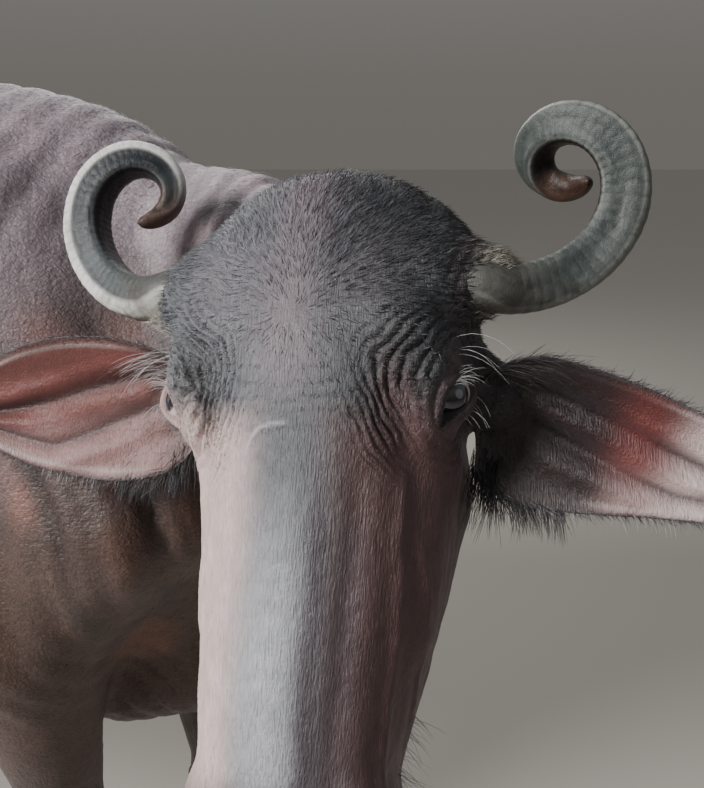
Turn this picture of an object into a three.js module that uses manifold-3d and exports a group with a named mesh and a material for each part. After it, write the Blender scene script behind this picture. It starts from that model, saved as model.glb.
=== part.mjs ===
// Water buffalo cow, life size, standing with the head turned to its right side.
// Millimetres in the meshes, +X forward along the body, +Y to the animal's left, +Z up, floor at z = 0.
// The flesh is one implicit body (rounded bones and muscles blended together), meshed piece by piece
// and parted with thin plane cuts; horns, eyes, ears, claws and tail are lofted along their own lines.
import * as THREE from 'three';
import Module from 'manifold-3d';

const wasm = await Module();
wasm.setup();
const { Manifold, Mesh: SolidMesh } = wasm;

// ---------------------------------------------------------------- driving sizes (metres)
const MM = 1000;
const GAP = 0.0004;              // half a cut between two neighbours is 0.2 mm
const CENTRE = [-0.148, 0.134];  // shift that puts the origin under the middle of the animal
const WITHERS = 1.36;            // height at the withers
const BRISKET = 0.500;           // lowest point of the brisket
const HEAD_AT = [0.7843, -0.4270, 1.1716];   // middle of the line between the eyes
const NOSE_DIR = [-0.058, -0.594, -0.802]; // from the poll to the nose
const SIDE_DIR = [0.9597, -0.2547, 0.1193]; // to the animal's left ear
const EYE_RADIUS = 0.0195;
const EYE_AT = [0.1060, -0.050, 0.003];
const EYE_GAZE = [0.86, 0.42, 0.22];
const EAR_LENGTH = 0.275, EAR_HALF_WIDTH = 0.065;
const FACE_LEAN = 0.005;         // the middle of the face stands this far to the animal's left
const HORN_WIDTH = 0.0215, HORN_DEPTH = 0.0235;  // half sizes at the root
const HORN_CORE = [0.088, -0.080, -0.098];       // where the horn starts, inside the head
const CORONET = 0.062;           // height of the top of the claws at the middle of the foot
const CORONET_SLOPE = 0.30;
// where each leg stands: foot forward offset, side
const LEGS = {
  foreleg_left: { fore: true, side: 1, step: 0.140 },
  foreleg_right: { fore: true, side: -1, step: -0.020 },
  hindleg_left: { fore: false, side: 1, step: 0.050 },
  hindleg_right: { fore: false, side: -1, step: -0.040 },
};
const HIDE = '#4b4244', HORN = '#8d968f', EYE = '#20242b', CLAW = '#3a3431', EAR = '#a8746b';

// ---------------------------------------------------------------- small vector maths
const add = (a, b) => [a[0] + b[0], a[1] + b[1], a[2] + b[2]];
const sub = (a, b) => [a[0] - b[0], a[1] - b[1], a[2] - b[2]];
const mul = (a, s) => [a[0] * s, a[1] * s, a[2] * s];
const dot = (a, b) => a[0] * b[0] + a[1] * b[1] + a[2] * b[2];
const len = (a) => Math.hypot(a[0], a[1], a[2]);
const unit = (a) => mul(a, 1 / len(a));
const cross = (a, b) => [a[1] * b[2] - a[2] * b[1], a[2] * b[0] - a[0] * b[2], a[0] * b[1] - a[1] * b[0]];
const mix = (a, b, t) => a + (b - a) * t;
const clamp = (x, lo, hi) => Math.min(hi, Math.max(lo, x));

// head frame: x to the left ear, y out of the forehead, z to the nose
const HZ = unit(NOSE_DIR);
const HX = unit(sub(SIDE_DIR, mul(HZ, dot(SIDE_DIR, HZ))));
const HY = cross(HZ, HX);
const toHead = (p) => { const d = sub(p, HEAD_AT); return [dot(d, HX), dot(d, HY), dot(d, HZ)]; };
const fromHead = (q) => add(HEAD_AT, add(add(mul(HX, q[0]), mul(HY, q[1])), mul(HZ, q[2])));

// monotone-ish cubic through the rows of a table: row[0] is the station
function table(rows) {
  return (t) => {
    const n = rows.length;
    if (t <= rows[0][0]) return rows[0].slice(1);
    if (t >= rows[n - 1][0]) return rows[n - 1].slice(1);
    let i = 0;
    while (rows[i + 1][0] < t) i++;
    const a = rows[i], b = rows[i + 1], h = b[0] - a[0], s = (t - a[0]) / h;
    const p = rows[Math.max(0, i - 1)], q = rows[Math.min(n - 1, i + 2)];
    return a.slice(1).map((va, k) => {
      const vb = b[k + 1];
      const ma = (vb - p[k + 1]) / (b[0] - p[0]), mb = (q[k + 1] - va) / (q[0] - a[0]);
      const s2 = s * s, s3 = s2 * s;
      return (2 * s3 - 3 * s2 + 1) * va + (s3 - 2 * s2 + s) * h * ma + (3 * s2 - 2 * s3) * vb + (s3 - s2) * h * mb;
    });
  };
}

// ---------------------------------------------------------------- rounded solids (signed distances)
// muscle: a round cone from a (radius ra) to b (radius rb), blended over k
const muscle = (a, b, ra, rb, k) => ({ kind: 0, a, b, ra, rb, k });
// mass: an ellipsoid at c with half sizes r, blended over k
const mass = (c, r, k) => ({ kind: 1, c, r, k });
function solidDistance(s, p) {
  if (s.kind === 0) {
    const ba = sub(s.b, s.a), pa = sub(p, s.a);
    const t = clamp(dot(pa, ba) / dot(ba, ba), 0, 1);
    return len(sub(pa, mul(ba, t))) - mix(s.ra, s.rb, t);
  }
  const d = sub(p, s.c);
  const k0 = Math.hypot(d[0] / s.r[0], d[1] / s.r[1], d[2] / s.r[2]);
  const k1 = Math.hypot(d[0] / s.r[0] ** 2, d[1] / s.r[1] ** 2, d[2] / s.r[2] ** 2);
  return k1 < 1e-9 ? -Math.min(...s.r) : k0 * (k0 - 1) / k1;
}
function blend(a, b, k) {
  const h = Math.max(k - Math.abs(a - b), 0) / k;
  return Math.min(a, b) - h * h * k * 0.25;
}
// section body: at station t a closed section with half width w, from low to high, widest at the
// share m of its height, squareness nu above and nl below
function sectionDistance(w, high, low, m, nu, nl, side, up) {
  const h = high - low, v = (up - low) / h;
  const above = v > m, n = above ? nu : nl;
  const vv = above ? (v - m) / (1 - m) : (m - v) / m;
  const hh = above ? (1 - m) * h : m * h;
  const u = Math.abs(side) / w;
  const q = Math.pow(Math.pow(u, n) + Math.pow(Math.abs(vv), n), 1 / n);
  return (q - 1) * Math.min(w, hh) * 0.9;
}

// ---------------------------------------------------------------- trunk
//            x      half w  back   belly  widest  top sq. low sq.
const TRUNK = table([
  [-0.84, 0.030, 1.150, 1.060, 0.50, 2.0, 2.0],
  [-0.80, 0.110, 1.215, 0.985, 0.50, 2.0, 2.0],
  [-0.72, 0.180, 1.275, 0.860, 0.52, 2.0, 2.0],
  [-0.60, 0.225, 1.325, 0.760, 0.58, 2.0, 2.0],
  [-0.45, 0.262, 1.350, 0.690, 0.55, 1.9, 2.1],
  [-0.30, 0.300, 1.345, 0.630, 0.48, 1.8, 2.2],
  [-0.10, 0.335, 1.335, 0.585, 0.44, 1.8, 2.2],
  [0.10, 0.325, 1.325, 0.578, 0.44, 1.8, 2.2],
  [0.28, 0.275, WITHERS - 0.018, 0.575, 0.44, 1.7, 2.2],
  [0.42, 0.215, WITHERS - 0.005, 0.578, 0.42, 1.6, 2.2],
  [0.54, 0.170, 1.290, 0.610, 0.42, 1.8, 2.2],
  [0.62, 0.115, 1.170, 0.680, 0.42, 2.0, 2.2],
  [0.67, 0.040, 1.050, 0.780, 0.45, 2.0, 2.0],
]);
function trunkDistance(p) {
  const [w, hi, lo, m, nu, nl] = TRUNK(p[0]);
  const d = sectionDistance(w, hi, lo, m, nu, nl, p[1], p[2]);
  const end = Math.max(p[0] - 0.67, -0.84 - p[0]);
  return end > 0 ? Math.hypot(Math.max(d, 0), end) : d;
}
// muscles and bone points of the trunk, given for the left side and mirrored
const TRUNK_SIDES = [
  muscle([0.40, 0.105, 1.240], [0.56, 0.170, 0.930], 0.075, 0.085, 0.09),  // shoulder blade
  muscle([0.55, 0.165, 0.900], [0.43, 0.175, 0.760], 0.095, 0.080, 0.07),  // upper arm
  muscle([0.36, 0.130, 1.060], [0.36, 0.175, 0.800], 0.085, 0.062, 0.08),  // triceps
  mass([-0.415, 0.212, 1.262], [0.070, 0.040, 0.040], 0.100),              // hook bone
  muscle([-0.42, 0.215, 1.245], [-0.44, 0.185, 0.900], 0.035, 0.085, 0.10),// front of the thigh
  muscle([-0.55, 0.130, 1.080], [-0.53, 0.165, 0.860], 0.130, 0.115, 0.10),// thigh
  muscle([-0.755, 0.105, 1.130], [-0.70, 0.130, 0.860], 0.046, 0.080, 0.08),// pin bone and buttock
  muscle([-0.60, 0.085, 1.300], [-0.74, 0.045, 1.225], 0.050, 0.040, 0.08),// croup
  mass([-0.415, 0.185, 0.800], [0.072, 0.065, 0.080], 0.08),               // stifle
  muscle([-0.33, 0.235, 0.860], [-0.41, 0.205, 0.780], 0.020, 0.030, 0.09),// flank fold
];
const TRUNK_MIDDLE = [
  muscle([0.34, 0, 0.650], [0.50, -0.010, BRISKET + 0.070], 0.080, 0.068, 0.08),  // brisket
  muscle([0.50, -0.010, BRISKET + 0.070], [0.600, -0.030, BRISKET + 0.095], 0.070, 0.055, 0.06),
  muscle([0.600, -0.030, BRISKET + 0.095], [0.650, -0.050, 0.840], 0.055, 0.058, 0.08),
  mass([0.40, 0, WITHERS - 0.052], [0.14, 0.040, 0.048], 0.08),               // withers
  muscle([-0.74, 0, 1.215], [-0.815, 0, 1.175], 0.038, 0.030, 0.06),// tail head
];

// ---------------------------------------------------------------- neck, bent to the right
const N = (q) => fromHead(q);
const NECK = [
  muscle([0.36, 0, 1.245], [0.56, 0.015, 1.215], 0.085, 0.080, 0.08),    // crest
  muscle([0.56, 0.015, 1.215], [0.705, -0.070, 1.200], 0.080, 0.078, 0.06),
  muscle([0.705, -0.070, 1.200], N([-0.010, -0.130, -0.105]), 0.078, 0.074, 0.06),
  muscle([0.44, 0, 1.040], [0.61, -0.010, 1.045], 0.165, 0.132, 0.09),    // side of the neck
  muscle([0.61, -0.010, 1.045], [0.735, -0.115, 1.075], 0.132, 0.102, 0.07),
  muscle([0.735, -0.115, 1.075], N([-0.010, -0.165, -0.055]), 0.102, 0.086, 0.07),
  muscle([0.52, 0, 0.820], [0.650, -0.045, 0.920], 0.120, 0.088, 0.09),   // throat
  muscle([0.650, -0.045, 0.920], [0.745, -0.165, 0.995], 0.088, 0.074, 0.07),
  muscle([0.745, -0.165, 0.995], N([-0.006, -0.200, -0.015]), 0.074, 0.062, 0.07),
];

// ---------------------------------------------------------------- legs (left side, before the step is added)
const FORELEG = [
  muscle([0.430, 0.172, 0.730], [0.448, 0.166, 0.430], 0.082, 0.043, 0.05), // forearm
  muscle([0.385, 0.172, 0.740], [0.425, 0.168, 0.560], 0.060, 0.040, 0.05), // elbow and flexors
  mass([0.455, 0.166, 0.392], [0.047, 0.043, 0.060], 0.035),                // knee
  muscle([0.450, 0.166, 0.350], [0.448, 0.166, 0.170], 0.033, 0.0315, 0.03),// cannon
  mass([0.446, 0.166, 0.150], [0.040, 0.040, 0.042], 0.035),                // fetlock
  muscle([0.452, 0.166, 0.130], [0.480, 0.166, 0.066], 0.034, 0.040, 0.03), // pastern
];
const HINDLEG = [
  muscle([-0.455, 0.180, 0.810], [-0.600, 0.165, 0.600], 0.098, 0.052, 0.06), // gaskin
  muscle([-0.680, 0.150, 0.860], [-0.705, 0.158, 0.600], 0.060, 0.026, 0.06), // hamstring tendon
  muscle([-0.600, 0.165, 0.820], [-0.662, 0.160, 0.590], 0.070, 0.034, 0.05), // between them
  muscle([-0.600, 0.165, 0.620], [-0.672, 0.160, 0.500], 0.054, 0.044, 0.05), // hock
  muscle([-0.715, 0.160, 0.590], [-0.690, 0.160, 0.480], 0.024, 0.036, 0.04),
  muscle([-0.676, 0.160, 0.480], [-0.650, 0.160, 0.180], 0.040, 0.034, 0.04), // cannon
  mass([-0.646, 0.160, 0.155], [0.041, 0.041, 0.043], 0.035),                 // fetlock
  muscle([-0.640, 0.160, 0.132], [-0.606, 0.160, 0.066], 0.034, 0.040, 0.03), // pastern
];
const HOCK_Z = 0.50, KNEE_Z = 0.42;
// the step moves the foot by `step`, and less and less further up the leg
function legPoint(p, leg) {
  const top = leg.fore ? 0.80 : 0.86;
  const t = clamp(1 - p[2] / top, 0, 1);
  return [p[0] - leg.step * t, p[1] * leg.side, p[2]];
}
function legDistance(leg, p) {
  const q = legPoint(p, leg);
  let d = 1;
  for (const s of leg.fore ? FORELEG : HINDLEG) d = blend(d, solidDistance(s, q), s.k);
  return d;
}

// ---------------------------------------------------------------- head (head frame)
//             z      half w  brow    jaw     widest top sq. low sq.
const SKULL = table([
  [-0.203, 0.030, -0.092, -0.132, 0.50, 2.0, 2.0],
  [-0.184, 0.084, -0.058, -0.165, 0.55, 2.2, 2.0],
  [-0.150, 0.119, -0.022, -0.195, 0.60, 2.4, 2.0],
  [-0.100, 0.131, 0.006, -0.215, 0.66, 2.6, 2.0],
  [-0.050, 0.121, 0.013, -0.240, 0.67, 2.6, 2.0],
  [0.000, 0.108, 0.010, -0.255, 0.62, 2.5, 2.0],
  [0.050, 0.107, 0.003, -0.252, 0.52, 2.2, 2.2],
  [0.100, 0.103, 0.001, -0.232, 0.46, 2.0, 2.3],
  [0.160, 0.094, -0.001, -0.202, 0.44, 2.0, 2.3],
  [0.220, 0.082, -0.007, -0.176, 0.45, 2.1, 2.3],
  [0.270, 0.072, -0.017, -0.160, 0.50, 2.3, 2.3],
  [0.310, 0.070, -0.034, -0.152, 0.54, 2.4, 2.4],
  [0.335, 0.055, -0.056, -0.138, 0.56, 2.3, 2.3],
  [0.348, 0.020, -0.080, -0.115, 0.50, 2.0, 2.0],
]);
const HEAD_SIDES = [
  mass([0.088, -0.046, 0.002], [0.026, 0.034, 0.044], 0.020),              // orbit
  muscle([0.074, -0.018, -0.045], [0.096, -0.027, -0.008], 0.022, 0.015, 0.022), // brow
  muscle([0.056, -0.090, 0.010], [0.054, -0.150, 0.055], 0.044, 0.048, 0.030),  // cheek muscle
  mass([0.058, -0.195, -0.020], [0.036, 0.062, 0.062], 0.040),             // angle of the jaw
  muscle([0.086, -0.076, 0.050], [0.070, -0.082, 0.170], 0.012, 0.012, 0.030),  // facial crest
  muscle([0.096, -0.050, -0.088], [0.137, -0.056, -0.091], 0.034, 0.0250, 0.022), // horn boss
  muscle([0.096, -0.104, -0.035], [0.134, -0.106, -0.012], 0.036, 0.029, 0.024),   // ear root
  mass([0.043, -0.060, 0.306], [0.033, 0.030, 0.036], 0.022),              // wing of the nostril
];
const HEAD_MIDDLE = [
  mass([0, -0.088, 0.312], [0.070, 0.044, 0.036], 0.030),                  // muzzle pad
  mass([0, -0.140, 0.285], [0.046, 0.026, 0.044], 0.025),                  // chin
  mass([0, -0.070, -0.160], [0.075, 0.055, 0.040], 0.040),                 // poll
];
const NOSTRIL = { at: [0.039, -0.060, 0.343], half: [0.015, 0.013, 0.022] };
function headDistance(p) {
  const q0 = toHead(p), lean = FACE_LEAN * Math.exp(-(((q0[2] - 0.11) / 0.09) ** 2));
  const q = [Math.abs(q0[0] - lean), q0[1], q0[2]];
  const [w, hi, lo, m, nu, nl] = SKULL(q[2]);
  let d = sectionDistance(w, hi, lo, m, nu, nl, q[0], q[1]);
  const end = Math.max(q[2] - 0.348, -0.205 - q[2]);
  if (end > 0) d = Math.hypot(Math.max(d, 0), end);
  for (const s of HEAD_SIDES) d = blend(d, solidDistance(s, q), s.k);
  for (const s of HEAD_MIDDLE) d = blend(d, solidDistance(s, q), s.k);
  const n = solidDistance(mass(NOSTRIL.at, NOSTRIL.half, 0), q);
  return -blend(-d, n, 0.008);
}

// ---------------------------------------------------------------- the whole flesh
function bodyDistance(p) {
  let d = trunkDistance(p);
  const q = [p[0], Math.abs(p[1]), p[2]];
  for (const s of TRUNK_SIDES) d = blend(d, solidDistance(s, q), s.k);
  for (const s of TRUNK_MIDDLE) d = blend(d, solidDistance(s, p), s.k);
  let n = 1;
  for (const s of NECK) n = blend(n, solidDistance(s, p), s.k);
  d = blend(d, n, 0.10);
  for (const leg of Object.values(LEGS)) {
    if (p[1] * leg.side > -0.05) d = blend(d, legDistance(leg, p), 0.045);
  }
  return d;
}
const flesh = (p) => blend(bodyDistance(p), headDistance(p), 0.050);
const UDDER = [
  mass([-0.400, 0, 0.640], [0.150, 0.118, 0.105], 0.05),
  mass([-0.480, 0, 0.670], [0.100, 0.105, 0.120], 0.05),
];
const TEATS = [[-0.345, 0.060], [-0.455, 0.055]];
function udderDistance(p) {
  const q = [p[0], Math.abs(p[1]), p[2]];
  let d = 1;
  for (const s of UDDER) d = blend(d, solidDistance(s, q), s.k);
  return d;
}

// ---------------------------------------------------------------- meshing a distance function on a box grid
function steps(from, to, step) {
  const n = Math.max(2, Math.round((to - from) / step)), out = [];
  for (let i = 0; i <= n; i++) out.push(from + (to - from) * i / n);
  return out;
}
function gradient(f, p) {
  const h = 0.0008;
  return [0, 1, 2].map((k) => {
    const a = p.slice(), b = p.slice();
    a[k] += h; b[k] -= h;
    return (f(a) - f(b)) / (2 * h);
  });
}
// f in a local frame; place maps local to the animal's frame; the surface is drawn through the cells
function meshDistance(f, xs, ys, zs, place, swell) {
  const nx = xs.length, ny = ys.length, nz = zs.length;
  const id = (i, j, k) => (k * ny + j) * nx + i;
  const val = new Float64Array(nx * ny * nz);
  for (let k = 0; k < nz; k++) for (let j = 0; j < ny; j++) for (let i = 0; i < nx; i++) {
    const edge = i === 0 || j === 0 || k === 0 || i === nx - 1 || j === ny - 1 || k === nz - 1;
    let v = f([xs[i], ys[j], zs[k]]);
    if (edge) v = Math.max(v, 1e-3);
    val[id(i, j, k)] = Math.abs(v) < 1e-7 ? 1e-7 : v;
  }
  const cell = new Map(), pts = [];
  const corners = [[0, 0, 0], [1, 0, 0], [0, 1, 0], [1, 1, 0], [0, 0, 1], [1, 0, 1], [0, 1, 1], [1, 1, 1]];
  const edges = [];
  for (let a = 0; a < 8; a++) for (let b = a + 1; b < 8; b++) {
    const d = corners[a].reduce((s, c, k) => s + Math.abs(c - corners[b][k]), 0);
    if (d === 1) edges.push([a, b]);
  }
  for (let k = 0; k < nz - 1; k++) for (let j = 0; j < ny - 1; j++) for (let i = 0; i < nx - 1; i++) {
    const v = corners.map(([a, b, c]) => val[id(i + a, j + b, k + c)]);
    const neg = v.filter((x) => x < 0).length;
    if (neg === 0 || neg === 8) continue;
    let s = [0, 0, 0], n = 0;
    for (const [a, b] of edges) {
      if ((v[a] < 0) === (v[b] < 0)) continue;
      const t = v[a] / (v[a] - v[b]);
      const pa = corners[a], pb = corners[b];
      s = add(s, [
        mix(xs[i + pa[0]], xs[i + pb[0]], t), mix(ys[j + pa[1]], ys[j + pb[1]], t), mix(zs[k + pa[2]], zs[k + pb[2]], t),
      ]);
      n++;
    }
    let p = mul(s, 1 / n);
    const inner = i > 0 && j > 0 && k > 0 && i < nx - 2 && j < ny - 2 && k < nz - 2;
    if (inner) for (let it = 0; it < 3; it++) {
      const g = gradient(f, p), gg = Math.max(dot(g, g), 0.05);
      const move = mul(g, -(f(p) - swell) / gg), m = len(move), cap = 0.35 * (xs[1] - xs[0]);
      p = add(p, m > cap ? mul(move, cap / m) : move);
    }
    cell.set(id(i, j, k), pts.length);
    pts.push(p);
  }
  const tris = [];
  const quad = (a, b, c, d, flip) => {
    const q = flip ? [a, d, c, b] : [a, b, c, d];
    const ac = len(sub(pts[q[0]], pts[q[2]])), bd = len(sub(pts[q[1]], pts[q[3]]));
    if (ac <= bd) tris.push([q[0], q[1], q[2]], [q[0], q[2], q[3]]);
    else tris.push([q[0], q[1], q[3]], [q[1], q[2], q[3]]);
  };
  for (let k = 0; k < nz - 1; k++) for (let j = 0; j < ny - 1; j++) for (let i = 0; i < nx - 1; i++) {
    const v0 = val[id(i, j, k)] < 0;
    const at = (a, b, c) => cell.get(id(i - a, j - b, k - c));
    if (j && k && v0 !== (val[id(i + 1, j, k)] < 0)) quad(at(0, 0, 0), at(0, 1, 0), at(0, 1, 1), at(0, 0, 1), !v0);
    if (i && k && v0 !== (val[id(i, j + 1, k)] < 0)) quad(at(0, 0, 0), at(0, 0, 1), at(1, 0, 1), at(1, 0, 0), !v0);
    if (i && j && v0 !== (val[id(i, j, k + 1)] < 0)) quad(at(0, 0, 0), at(1, 0, 0), at(1, 1, 0), at(0, 1, 0), !v0);
  }
  return { pts: pts.map(place || ((p) => p)), tris };
}

// ---------------------------------------------------------------- solids
function solid({ pts, tris }) {
  const vertProperties = new Float32Array(pts.length * 3), triVerts = new Uint32Array(tris.length * 3);
  pts.forEach((p, i) => vertProperties.set([p[0] * MM, p[1] * MM, p[2] * MM], 3 * i));
  tris.forEach((t, i) => triVerts.set(t, 3 * i));
  return new Manifold(new SolidMesh({ numProp: 3, vertProperties, triVerts }));
}
function meshOf(s) {
  const m = s.getMesh(), pts = [], tris = [];
  for (let i = 0; i < m.vertProperties.length; i += m.numProp) pts.push([0, 1, 2].map((k) => m.vertProperties[i + k] / MM));
  for (let i = 0; i < m.triVerts.length; i += 3) tris.push([m.triVerts[i], m.triVerts[i + 1], m.triVerts[i + 2]]);
  return { pts, tris };
}
// the same solid without edges shorter than `tiny`: their two ends become one point
function tidy(s, tiny = 0.00025) {
  let { pts, tris } = meshOf(s);
  for (let round = 0; round < 40; round++) {
    const next = pts.map(() => new Set());
    for (const [a, b, c] of tris) { next[a].add(b).add(c); next[b].add(a).add(c); next[c].add(a).add(b); }
    const locked = new Set(), to = pts.map((_, i) => i);
    let found = 0;
    for (const t of tris) for (let e = 0; e < 3; e++) {
      const a = t[e], b = t[(e + 1) % 3];
      if (a > b || locked.has(a) || locked.has(b) || len(sub(pts[a], pts[b])) >= tiny) continue;
      if ([...next[a]].filter((v) => next[b].has(v)).length !== 2) continue;
      for (const v of [a, b, ...next[a], ...next[b]]) locked.add(v);
      to[b] = a;
      found++;
    }
    if (!found) break;
    tris = tris.map((t) => t.map((v) => to[v])).filter(([a, b, c]) => a !== b && b !== c && a !== c);
  }
  const used = new Map(), keptPts = [];
  tris = tris.map((t) => t.map((v) => {
    if (!used.has(v)) { used.set(v, keptPts.length); keptPts.push(pts[v]); }
    return used.get(v);
  }));
  // two points left in one place, where the surface pinches, are drawn apart
  const seen = new Map();
  keptPts.forEach((p, i) => {
    const key = p.map((c) => Math.round(c * 2e4)).join();
    if (seen.has(key)) {
      const mine = tris.filter((t) => t.includes(i));
      const mean = mul(mine.flat().map((v) => keptPts[v]).reduce(add, [0, 0, 0]), 1 / (3 * mine.length));
      keptPts[i] = add(p, mul(sub(mean, p), Math.min(0.5, 0.0001 / Math.max(1e-6, len(sub(mean, p))))));
    } else seen.set(key, i);
  });
  return solid({ pts: keptPts, tris });
}
// the same solid with its surface moved out by d along the vertex normals
function grown(s, d) {
  const { pts, tris } = meshOf(s);
  const nor = pts.map(() => [0, 0, 0]);
  for (const t of tris) {
    const n = cross(sub(pts[t[1]], pts[t[0]]), sub(pts[t[2]], pts[t[0]]));
    for (const v of t) nor[v] = add(nor[v], n);
  }
  return solid({ pts: pts.map((p, i) => add(p, mul(unit(nor[i]), d))), tris });
}
// a big block whose one face is the plane through `at` with `n` pointing out of the block
function halfSpace(at, n, size = 3) {
  const z = unit(n), x = unit(cross(Math.abs(z[2]) < 0.9 ? [0, 0, 1] : [1, 0, 0], z)), y = cross(z, x);
  const box = new THREE.BoxGeometry(size, size, size);
  const pos = box.getAttribute('position'), seen = new Map(), pts = [], map = [];
  for (let i = 0; i < pos.count; i++) {
    const c = [pos.getX(i), pos.getY(i), pos.getZ(i)], key = c.join();
    if (!seen.has(key)) {
      seen.set(key, pts.length);
      pts.push(add(at, add(add(mul(x, c[0]), mul(y, c[1])), mul(z, c[2] - size / 2))));
    }
    map.push(seen.get(key));
  }
  const ix = box.getIndex(), tris = [];
  for (let i = 0; i < ix.count; i += 3) tris.push([map[ix.getX(i)], map[ix.getX(i + 1)], map[ix.getX(i + 2)]]);
  return solid({ pts, tris });
}
const keep = (s, planes) => planes.reduce((m, [at, n]) => m.intersect(halfSpace(at, n)), s);
const biggest = (s) => s.decompose().sort((a, b) => b.volume() - a.volume())[0];
// planes moved outwards by d
const wider = (planes, d) => planes.map(([at, n]) => [add(at, mul(unit(n), d)), n]);

// loft of closed rings with fans at both ends
function loft(rings) {
  const n = rings[0].length, pts = rings.flat(), tris = [];
  const mean = (r) => mul(r.reduce(add, [0, 0, 0]), 1 / r.length);
  for (let r = 0; r < rings.length - 1; r++) for (let i = 0; i < n; i++) {
    const a = r * n + i, b = r * n + (i + 1) % n, c = a + n, d = b + n;
    tris.push([a, b, d], [a, d, c]);
  }
  const a = pts.length; pts.push(mean(rings[0]));
  const b = pts.length; pts.push(mean(rings[rings.length - 1]));
  const base = (rings.length - 1) * n;
  for (let i = 0; i < n; i++) {
    tris.push([a, (i + 1) % n, i], [b, base + i, base + (i + 1) % n]);
  }
  const m = { pts, tris };
  const s = solid(m);
  if (s.volume() > 0) return s;
  return solid({ pts, tris: tris.map(([x, y, z]) => [x, z, y]) });
}

// ---------------------------------------------------------------- cuts
const HEAD_CUT = [fromHead([0, -0.190, -0.092]), mul(unit(add(add(mul(HY, 0.62), mul(HZ, 0.62)), mul(HX, 0.46))), -1)]; // normal towards the neck
const NECK_CUT = [[0.505, 0, 1.12], unit([-0.93, 0.16, -0.32])];  // normal towards the trunk
const fore = (side) => [
  [[0.305, 0, 0], [-1, 0, 0]], [[0.640, 0, 0], [1, 0, 0]],
  [[0, side * 0.052, 0], [0, -side, 0]], [[0, side * 0.060, 0.600], unit([0, -side * 0.62, 0.80])],
];
const hind = (side) => [
  [[-0.345, 0, 0.80], unit([0.94, 0, 0.30])],
  [[0, side * 0.045, 0], [0, -side, 0]], [[-0.55, side * 0.060, 0.745], unit([-0.10, -side * 0.72, 0.70])],
];

// ---------------------------------------------------------------- flesh pieces
const along = (f) => (q) => f(fromHead(q));
let head = keep(
  solid(meshDistance(along(flesh), steps(-0.24, 0.24, 0.0240), steps(-0.32, 0.06, 0.0250), steps(-0.24, 0.385, 0.0280), fromHead, 0.0004)),
  wider([[HEAD_CUT[0], HEAD_CUT[1]]], -GAP / 2),
);
const NECK_BOX = [steps(0.30, 0.98, 0.058), steps(-0.48, 0.36, 0.058), steps(0.48, 1.50, 0.066)];
const toTrunk = mul(NECK_CUT[1], -1), toNeck = NECK_CUT[1];
const neckFlesh = solid(meshDistance(flesh, ...NECK_BOX, null, 0.001));
const inverse = ([at, n]) => [at, mul(n, -1)];
let neck = keep(neckFlesh, wider([inverse(HEAD_CUT), NECK_CUT], -GAP / 2));
neck = biggest(neck);
let trunk = solid(meshDistance(bodyDistance, steps(-0.95, 0.80, 0.103), steps(-0.42, 0.42, 0.0875), steps(0.42, 1.50, 0.087), null, 0.002));
trunk = keep(trunk, wider([inverse(NECK_CUT)], -GAP / 2));
const legSolids = {};
for (const [name, leg] of Object.entries(LEGS)) {
  const cuts = leg.fore ? fore(leg.side) : hind(leg.side);
  const x0 = (leg.fore ? 0.25 : -0.87) + Math.min(0, leg.step), x1 = (leg.fore ? 0.70 : -0.28) + Math.max(0, leg.step);
  const top = leg.fore ? 0.86 : 1.08;
  const foot = [(leg.fore ? 0.480 : -0.606) + leg.step * (1 - CORONET / (leg.fore ? 0.80 : 0.86)), leg.side * (leg.fore ? 0.166 : 0.160), CORONET];
  const y0 = leg.side > 0 ? 0.0 : -0.36, y1 = leg.side > 0 ? 0.36 : 0.0;
  const zs = [0.0, 0.04, 0.075, 0.11, 0.15, 0.19, 0.25, 0.31, 0.36, 0.41, 0.46, 0.52, 0.58, 0.64, 0.70, 0.76, 0.82, 0.88, 0.95, 1.02, 1.09].filter((z) => z <= top + 0.02);
  const raw = solid(meshDistance(bodyDistance, steps(x0, x1, leg.fore ? 0.036 : 0.042), steps(y0, y1, leg.fore ? 0.033 : 0.037), zs, null, 0.0012));
  const sole = [foot, unit([-CORONET_SLOPE, 0, 1])];
  legSolids[name] = { s: biggest(keep(raw, wider([...cuts, [foot, mul(sole[1], -1)]], -GAP / 2))), foot, leg };
  trunk = trunk.subtract(keep(halfSpace([0, 0, 3], [0, 0, 1], 6), wider(cuts, GAP / 2)));
}
trunk = biggest(trunk);

// ---------------------------------------------------------------- udder
let udder = solid(meshDistance(udderDistance, steps(-0.64, -0.18, 0.058), steps(-0.160, 0.160, 0.053), steps(0.46, 0.84, 0.055), null, 0.0015));
for (const [x, y0] of TEATS) for (const y of [y0, -y0]) {
  const line = [[x - 0.002, y * 0.96, 0.600], [x, y, 0.555], [x + 0.003, y * 1.05, 0.510], [x + 0.004, y * 1.10, 0.474]];
  udder = udder.add(rope(line, [0.028, 0.020, 0.0165, 0.009], 6, false));
}
udder = biggest(udder);
const udderOut = grown(udder, 0.0008);
trunk = biggest(trunk.subtract(udderOut));
for (const l of Object.values(legSolids)) if (!l.leg.fore) l.s = biggest(l.s.subtract(udderOut));
const around = [trunk, ...Object.values(legSolids).map((l) => l.s)];

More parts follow.
